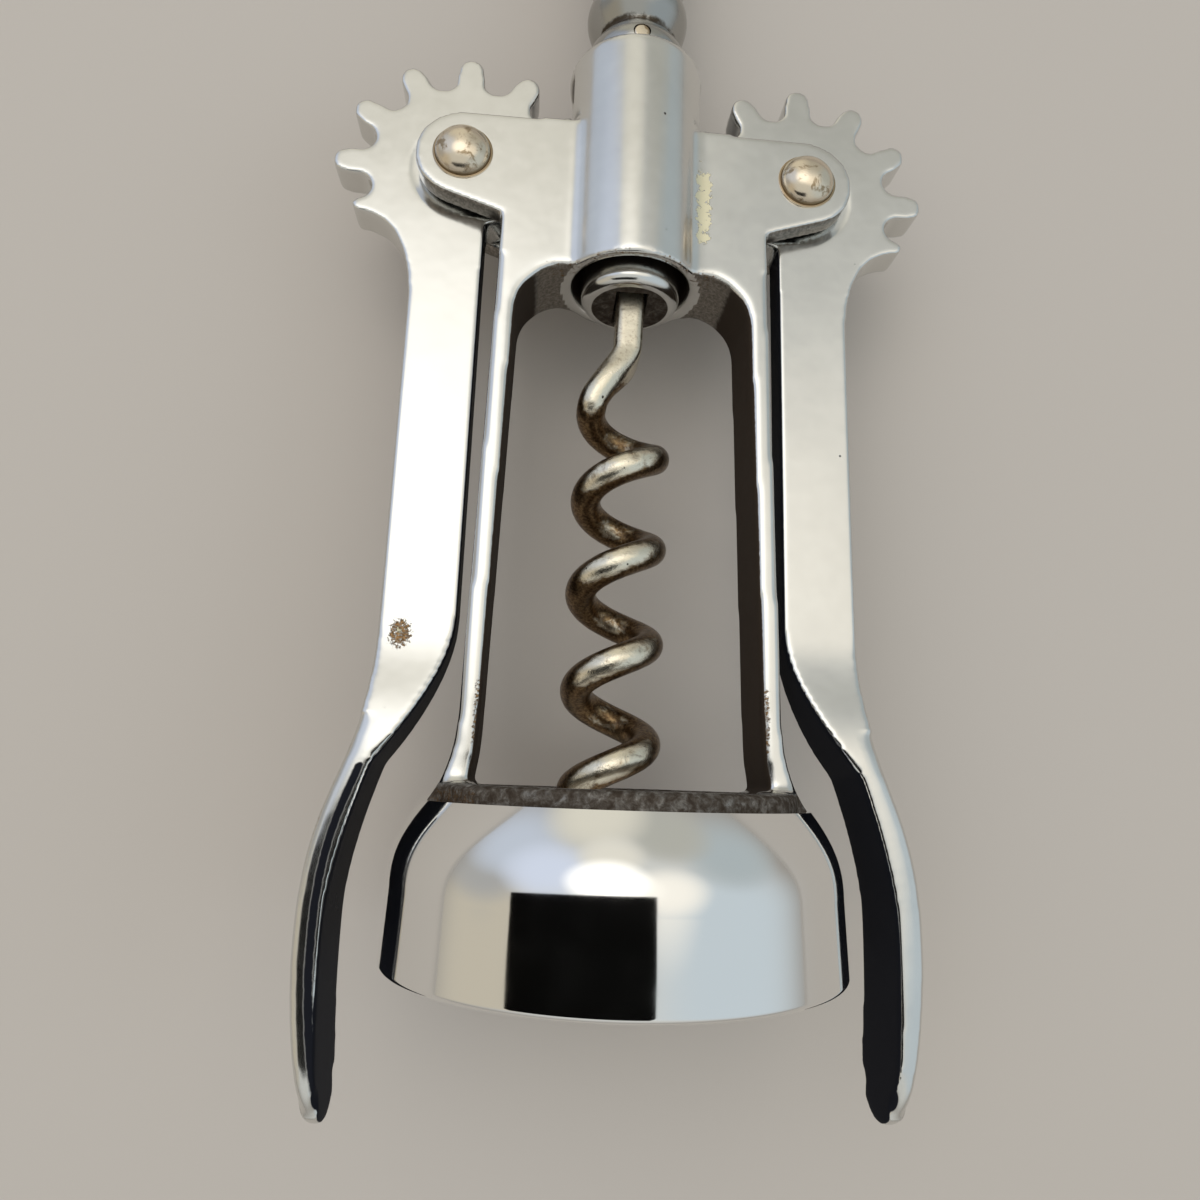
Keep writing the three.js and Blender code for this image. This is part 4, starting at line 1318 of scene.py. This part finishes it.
def spindle_profile(sizes, handle):
    """The spindle's section: its round head below and its plain rod above."""
    head = sizes.head_radius
    head_round = sizes.head_round
    rim = arc((head - head_round, sizes.head_bottom + head_round), head_round, -QUARTER, 0, 16)
    head_top = sizes.head_bottom + sizes.head_length
    top = handle.bottom + sizes.embed
    flat = rim[0].x - sizes.flat_margin
    profile = [Vector((0, sizes.head_bottom)), Vector((flat, sizes.head_bottom))] + rim
    profile += [Vector((head, head_top)), Vector((sizes.spindle_radius, head_top))]
    return profile + [Vector((sizes.spindle_radius, top)), Vector((0, top))]


class CORKSCREW_OT_spindle(bpy.types.Operator):
    """Models the spindle with its slotted head"""

    bl_idname = "corkscrew.add_spindle"
    bl_label = "Spindle"

    def execute(self, context):
        sizes = context.scene.corkscrew_rack
        body = turned(spindle_profile(sizes, context.scene.corkscrew_handle), 128)
        slot = block(sizes.slot_width, 2 * sizes.slot_depth, sizes.slot_length, 0, sizes.head_bottom, 0)
        spindle = combined(body, "DIFFERENCE", [slot])
        metal = plating_metal("spindle_plating", 0.4)
        add_piece(
            spindle,
            "spindle_rod",
            "screw",
            ["spindle"],
            metal,
            sharp_above=math.radians(40),
            wear_and_painted_light=spindle_wear_and_shade(sizes),
        )
        return {"FINISHED"}


def spindle_wear_and_shade(sizes):
    """The head's flat underside is dull, bare and stained, with painted shade, and the slot has painted
    shade.
    """
    bottom = sizes.head_bottom
    dull_radius = sizes.head_radius - sizes.head_round - sizes.flat_margin / 2
    bare_share = 0.75
    stain_share = 0.45
    painted_face_shade_share = 0.42

    def wear_and_painted_light(place, normal):
        """The shares of bare metal, stain, flaking and painted shade."""
        level = place.y * MM
        radius = place.xz.length * MM
        on_face = level < bottom + sizes.flat_margin / 2 and radius < dull_radius
        in_slot = level < bottom + sizes.slot_depth and radius < sizes.slot_length / 2
        # Painted shade: darkens the head's flat underside a little and the slot fully.
        dark = painted_face_shade_share if on_face else 1.0 * in_slot
        return bare_share * on_face, stain_share * on_face, 0, dark

    return wear_and_painted_light


# Worm


def worm_centre(sizes, height):
    """The middle of the wire at a height, and its angle round the axis."""
    helix_top = sizes.tip + sizes.turns * sizes.pitch
    into_lead = max(height - helix_top, 0)
    lead_turn_share = 0.12
    climbed = height - sizes.tip - into_lead + lead_turn_share * into_lead
    angle = sizes.tip_angle + math.tau * climbed / sizes.pitch
    radius = (sizes.radius - sizes.wire / 2) * smoothstep(helix_top + sizes.lead_length, helix_top, height)
    lean = sizes.lean * (1 - (height / bpy.context.scene.corkscrew_rack.head_bottom) ** 2)
    return Vector((radius * math.sin(angle) - max(lean, 0), height, radius * math.cos(angle))), angle


def worm_section(sizes, flat_share, taper, sides):
    """The wire's section: round in the helix, flattened with eased corners in the shank."""
    points = []
    for side in range(sides):
        around = math.tau * (side + 0.5) / sides
        c, s = math.cos(around), math.sin(around)
        round_x = taper * sizes.wire / 2 * c
        round_y = taper * sizes.wire / 2 * s
        corner_power = 8
        squared = (abs(c) ** corner_power + abs(s) ** corner_power) ** (-1 / corner_power)
        flat_x = sizes.shank_depth / 2 * c * squared
        flat_y = sizes.shank_width / 2 * s * squared
        points.append((round_x + (flat_x - round_x) * flat_share, round_y + (flat_y - round_y) * flat_share))
    return points


def worm_solid(sizes, shank_top):
    """The wire, extruded ring by ring from its point up the helix, through the lead and into the shank."""
    sides = 24
    steps_per_turn = 48
    shank_steps = 8
    point_share = 0.06
    helix_top = sizes.tip + sizes.turns * sizes.pitch
    lead_top = helix_top + sizes.lead_length
    count = round((lead_top - sizes.tip) / sizes.pitch * steps_per_turn)
    heights = [sizes.tip + (lead_top - sizes.tip) * step / count for step in range(count + 1)]
    heights += [lead_top + (shank_top - lead_top) * step / shank_steps for step in range(1, shank_steps + 1)]
    bm = bmesh.new()
    order = bm.verts.layers.int.new("side")
    ring = bmesh.ops.create_circle(bm, cap_ends=True, segments=sides, radius=sizes.wire)["verts"]
    for side, vert in enumerate(ring):
        vert[order] = side
    cap = bm.faces[:][0]
    end_angle = worm_centre(sizes, lead_top)[1]
    for index, height in enumerate(heights):
        if index:
            raised = bmesh.ops.extrude_discrete_faces(bm, faces=[cap])["faces"]
            cap = raised[0]
        flat_share = smoothstep(helix_top + sizes.lead_length / 4, lead_top, height)
        probe = sizes.pitch / steps_per_turn / 4
        tangent = (worm_centre(sizes, height + probe)[0] - worm_centre(sizes, height - probe)[0]).normalized()
        middle, angle = worm_centre(sizes, height)
        angle = min(angle, end_angle)
        radial = Vector((math.sin(angle), 0, math.cos(angle)))
        guide = radial.lerp(Vector((0, 0, 1)), smoothstep(helix_top, lead_top, height))
        across = tangent.cross(guide).normalized()
        out = across.cross(tangent).normalized()
        taper = max(math.sqrt(min((height - sizes.tip) / sizes.point_length, 1)), point_share)
        section = worm_section(sizes, flat_share, taper, sides)
        for vert in cap.verts:
            u, v = section[vert[order]]
            vert.co = middle + out * u + across * v
    bmesh.ops.recalc_face_normals(bm, faces=bm.faces)
    return bm


def worm_patina_and_light(sizes):
    """Patina below the shank, deeper behind and thinner on faces that turn to the front, partly real and
    partly a painted highlight; painted shade deepens it inside the coil; and a ground front on the shank.
    """
    helix_top = (sizes.tip + sizes.turns * sizes.pitch) / MM
    patina_fade = (helix_top + 5, helix_top - 1)
    ground_fade = (helix_top + 2, helix_top + 5)

    def wear_and_painted_light(place, normal):
        """The shares of patina with painted shade and highlight, and of ground metal."""
        down = smoothstep(*patina_fade, place.y)
        front = smoothstep(0.25, 0.85, normal.z)
        inside = max(-normal.dot(Vector((place.x, 0, place.z)).normalized()), 0)
        # Painted light: the front term lightens faces that turn to the front, partly real and partly a
        # painted highlight; the inside term darkens the coil's inner faces as painted shade.
        patina_and_painted_light = down * (0.88 - 0.46 * front + 0.25 * inside) + 0.3 * (1 - front)
        ground = smoothstep(*ground_fade, place.y) * smoothstep(0.3, 0.9, normal.z)
        return patina_and_painted_light, ground

    return wear_and_painted_light


class CORKSCREW_OT_worm(bpy.types.Operator):
    """Models the worm and the pin through its shank"""

    bl_idname = "corkscrew.add_worm"
    bl_label = "Worm"

    def execute(self, context):
        scene = context.scene
        sizes = scene.corkscrew_worm
        rack = scene.corkscrew_rack
        metal = worm_metal()
        worm = worm_solid(sizes, rack.head_bottom + sizes.shank_embed)
        edges = math.radians(50)
        add_piece(worm, "worm_wire", "screw", ["worm"], metal, edges, worm_patina_and_light(sizes))
        recess = 0.3 * MM
        reach = rack.head_radius - recess
        pin_height = rack.head_bottom + sizes.shank_embed / 2
        through = pin(scene.corkscrew_rivet.worm_pin, 0, pin_height, -reach, reach)
        add_piece(through, "worm_cross_pin", "screw", ["worm_pin"], metal, edges)
        return {"FINISHED"}


# Handle


def handle_solid(sizes):
    """A round boss that widens into a flat bow with an opening that lifts crown caps."""
    half = HANDLE_HALF_WIDTH
    top = sizes.bottom + sizes.height
    bow_bottom = sizes.bottom + sizes.boss_length
    corner = sizes.corner
    waist = (sizes.boss_radius, sizes.bottom + sizes.boss_length / 2)
    shoulder = (half - corner / 2, bow_bottom + corner / 2)
    outer = bow(waist, (sizes.boss_radius, bow_bottom), shoulder)
    outer += bow(shoulder, (half, bow_bottom + corner), (half, bow_bottom + 2 * corner))[1:]
    outer += bow((half, top - corner), (half, top), (half - corner, top))
    hole_half = half - sizes.rim
    hole_bottom = bow_bottom + sizes.rim
    hole_top = top - sizes.rim
    lip = sizes.lip_width / 2
    hole = [Vector((lip, hole_bottom + sizes.lip_height))]
    hole += bow((lip, hole_bottom), (hole_half, hole_bottom), (hole_half, hole_bottom + corner))
    hole += bow((hole_half, hole_top - corner / 2), (hole_half, hole_top), (hole_half - corner, hole_top))
    face = sizes.thickness / 2
    plate = slab(outer + mirrored(outer), -face, face)
    opening = slab(hole + mirrored(hole), -2 * face, 2 * face)
    boss = rod(sizes.boss_radius, sizes.bottom, bow_bottom)
    joined = combined(plate, "UNION", [boss])
    return combined(joined, "DIFFERENCE", [opening])


class CORKSCREW_OT_handle(bpy.types.Operator):
    """Models the handle and the pin through its boss"""

    bl_idname = "corkscrew.add_handle"
    bl_label = "Handle"

    def execute(self, context):
        scene = context.scene
        sizes = scene.corkscrew_handle
        rack = scene.corkscrew_rack
        radius = scene.corkscrew_rivet.handle_pin
        height = sizes.bottom + rack.embed / 2
        spindle_gap = 0.15 * MM
        pin_gap = 0.1 * MM
        recess = 0.3 * MM
        voxel = 0.25 * MM
        hole = rod(rack.spindle_radius + spindle_gap, sizes.bottom - sizes.rim, sizes.bottom + rack.embed)
        pin_hole = cross_rod(radius + pin_gap, 0, height, -sizes.corner, sizes.corner)
        solid = combined(handle_solid(sizes), "DIFFERENCE", [hole, pin_hole])
        casting = soften(cast(solid, voxel), 14)
        metal = plating_metal("handle_plating", 0.6)
        add_piece(casting, "handle_casting", "screw", ["handle"], metal, wear_and_painted_light=no_wear)
        reach = sizes.boss_radius - recess
        through = pin(radius, 0, height, -reach, reach)
        edges = math.radians(50)
        add_piece(through, "handle_cross_pin", "screw", ["handle_pin"], rivet_metal(), edges)
        return {"FINISHED"}


def no_wear(place, normal):
    """Plating without bare, stained or flaked places or painted shade."""
    return (0,)


# Stage


def toward(azimuth, elevation):
    """A direction from compass and height angles in degrees; azimuth 0 is +Y, the handle's side."""
    turn, rise = math.radians(azimuth), math.radians(elevation)
    return Vector((math.sin(turn) * math.cos(rise), math.cos(turn) * math.cos(rise), math.sin(rise)))


def add_panel(name, azimuth, elevation, distance, width, height, radiance, colour):
    """A soft light panel that faces the corkscrew."""
    light = bpy.data.lights.new(name, "AREA")
    light.shape = "RECTANGLE"
    light.size = width
    light.size_y = height
    light.energy = radiance * math.pi * width * height
    light.color = colour
    lamp = bpy.data.objects.new(name, light)
    lamp.visible_glossy = False
    direction = toward(azimuth, elevation)
    turn = direction.to_track_quat("Z", "Y").to_matrix().to_4x4()
    lamp.matrix_world = Matrix.Translation(direction * distance) @ turn
    bpy.context.scene.collection.objects.link(lamp)


def add_camera(stage):
    """The camera at the photograph's place, set along the corkscrew's own axes."""
    data = bpy.data.cameras.new("camera")
    data.lens = stage.lens
    data.clip_start = MM
    camera = bpy.data.objects.new("camera", data)
    pitch, yaw, roll = stage.camera_turn
    turn = Matrix.Rotation(pitch, 4, "X") @ Matrix.Rotation(yaw, 4, "Y") @ Matrix.Rotation(roll, 4, "Z")
    place = Matrix.Translation((stage.camera_side, stage.camera_height, stage.camera_front))
    camera.matrix_world = lying_matrix() @ place @ turn
    bpy.context.scene.collection.objects.link(camera)
    bpy.context.scene.camera = camera


def add_floor(stage):
    """A plain pale floor."""
    bm = bmesh.new()
    bmesh.ops.create_grid(bm, x_segments=1, y_segments=1, size=stage.floor_size / 2)
    floor = made_object(bm, "floor")
    material = bpy.data.materials.new("pale_floor")
    material.use_nodes = True
    shader = material.node_tree.nodes["Principled BSDF"]
    shader.inputs["Base Color"].default_value = opaque(stage.floor)
    shader.inputs["Roughness"].default_value = 0.85
    floor.data.materials.append(material)


def add_dark_card(stage):
    """A dark card beside the camera that only reflections show."""
    bm = bmesh.new()
    bmesh.ops.create_grid(bm, x_segments=1, y_segments=1, size=0.5)
    size = Matrix.Diagonal((stage.card_width, stage.card_height, 1, 1))
    place = Matrix.Translation((-stage.card_left, -stage.card_below, stage.card_front))
    bmesh.ops.transform(bm, matrix=lying_matrix() @ place @ size, verts=bm.verts)
    card = made_object(bm, "dark_card")
    material = bpy.data.materials.new("dark_card")
    material.use_nodes = True
    shader = material.node_tree.nodes["Principled BSDF"]
    shader.inputs["Base Color"].default_value = opaque(stage.card)
    shader.inputs["Specular IOR Level"].default_value = 0
    card.data.materials.append(material)
    card.visible_camera = False
    card.visible_diffuse = False
    card.visible_shadow = False


def add_sky():
    """A soft sky with pale, cream, lilac and blue-grey areas and two brighter ones overhead."""
    world = bpy.data.worlds.new("studio")
    bpy.context.scene.world = world
    world.use_nodes = True
    nodes = Nodes(world.node_tree)
    direction = nodes.add("ShaderNodeTexCoord", {}, "Generated")
    height = nodes.add("ShaderNodeSeparateXYZ", {"Vector": direction}, "Z")
    colour = nodes.blend(nodes.spread(height, -0.1, 0.9), (0.36, 0.34, 0.31, 1), (0.72, 0.73, 0.7, 1))
    # Azimuth, elevation, outer edge and full core of each area in degrees, and its glow
    areas = (
        (98, 40, 48, 10, (0.62, 0.7, 0.75)),
        (-100, 24, 34, 6, (0.6, 0.55, 0.45)),
        (-72, 18, 24, 2, (0.44, 0.44, 0.43)),
        (-47, 16, 28, 2, (0.6, 0.66, 0.76)),
        (-50, 42, 28, 2, (0.74, 0.81, 0.96)),
        (52, 22, 28, 2, (0.47, 0.53, 0.55)),
        (20, 26, 22, 2, (0.5, 0.5, 0.45)),
        (-10, 16, 24, 2, (0.8, 0.77, 0.66)),
        (-8, 43, 18, 2, (0.87, 0.84, 0.74)),
        (50, 65, 24, 2, (1.12, 1.08, 0.98)),
        (14, 72, 17, 2, (1.25, 1.21, 1.1)),
        (-20, 64, 23, 3, (1.8, 1.76, 1.66)),
    )
    for azimuth, elevation, edge, core, glow in areas:
        ends = {0: direction, 1: toward(azimuth, elevation)}
        near = nodes.add("ShaderNodeVectorMath", ends, "Value", operation="DOT_PRODUCT")
        share = nodes.spread(near, math.cos(math.radians(edge)), math.cos(math.radians(core)))
        colour = nodes.blend(share, colour, opaque(glow))
    background = world.node_tree.nodes["Background"]
    world.node_tree.links.new(colour, background.inputs["Color"])


class CORKSCREW_OT_stage(bpy.types.Operator):
    """Sets the camera, the floor and the light"""

    bl_idname = "corkscrew.add_stage"
    bl_label = "Stage"

    def execute(self, context):
        stage = context.scene.corkscrew_stage
        add_camera(stage)
        add_floor(stage)
        add_dark_card(stage)
        add_sky()
        # Azimuth and elevation in degrees, distance, width and height in metres, radiance and colour
        add_panel("ceiling_panel", -40, 62, 0.8, 0.5, 0.5, 1.1, (1.0, 0.96, 0.9))
        add_panel("window_panel", 95, 34, 0.7, 0.3, 0.35, 1.1, (0.86, 0.93, 1.0))
        add_panel("side_panel", -95, 48, 0.7, 0.3, 0.4, 1.0, (1.0, 0.97, 0.9))
        context.scene.view_settings.view_transform = "Standard"
        return {"FINISHED"}


class CORKSCREW_PT_pieces(bpy.types.Panel):
    """Lists the corkscrew's pieces and stage"""

    bl_label = "Corkscrew"
    bl_idname = "CORKSCREW_PT_pieces"
    bl_space_type = "VIEW_3D"
    bl_region_type = "UI"
    bl_category = "Corkscrew"

    def draw(self, context):
        for operator in OPERATORS:
            self.layout.operator(operator.bl_idname)


GROUPS = {
    "corkscrew_frame": CorkscrewFrameSizes,
    "corkscrew_bell": CorkscrewBellSizes,
    "corkscrew_lever": CorkscrewLeverSizes,
    "corkscrew_rivet": CorkscrewRivetSizes,
    "corkscrew_rack": CorkscrewRackSizes,
    "corkscrew_worm": CorkscrewWormSizes,
    "corkscrew_handle": CorkscrewHandleSizes,
    "corkscrew_finish": CorkscrewFinish,
    "corkscrew_stage": CorkscrewStage,
}
OPERATORS = (
    CORKSCREW_OT_frame,
    CORKSCREW_OT_bell,
    CORKSCREW_OT_levers,
    CORKSCREW_OT_rivets,
    CORKSCREW_OT_rack,
    CORKSCREW_OT_spindle,
    CORKSCREW_OT_worm,
    CORKSCREW_OT_handle,
    CORKSCREW_OT_stage,
)


def register():
    """Registers the sizes, the operators and the panel."""
    for made in (*GROUPS.values(), *OPERATORS, CORKSCREW_PT_pieces):
        bpy.utils.register_class(made)
    for name, group in GROUPS.items():
        setattr(bpy.types.Scene, name, bpy.props.PointerProperty(type=group))


def unregister():
    """Takes the panel, the operators and the sizes away again."""
    for name in GROUPS:
        delattr(bpy.types.Scene, name)
    for made in (CORKSCREW_PT_pieces, *OPERATORS, *GROUPS.values()):
        bpy.utils.unregister_class(made)


def main():
    """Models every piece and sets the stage."""
    register()
    bpy.ops.corkscrew.add_frame()
    bpy.ops.corkscrew.add_bell()
    bpy.ops.corkscrew.add_levers()
    bpy.ops.corkscrew.add_rivets()
    bpy.ops.corkscrew.add_rack()
    bpy.ops.corkscrew.add_spindle()
    bpy.ops.corkscrew.add_worm()
    bpy.ops.corkscrew.add_handle()
    bpy.ops.corkscrew.add_stage()


if __name__ == "__main__":
    main()
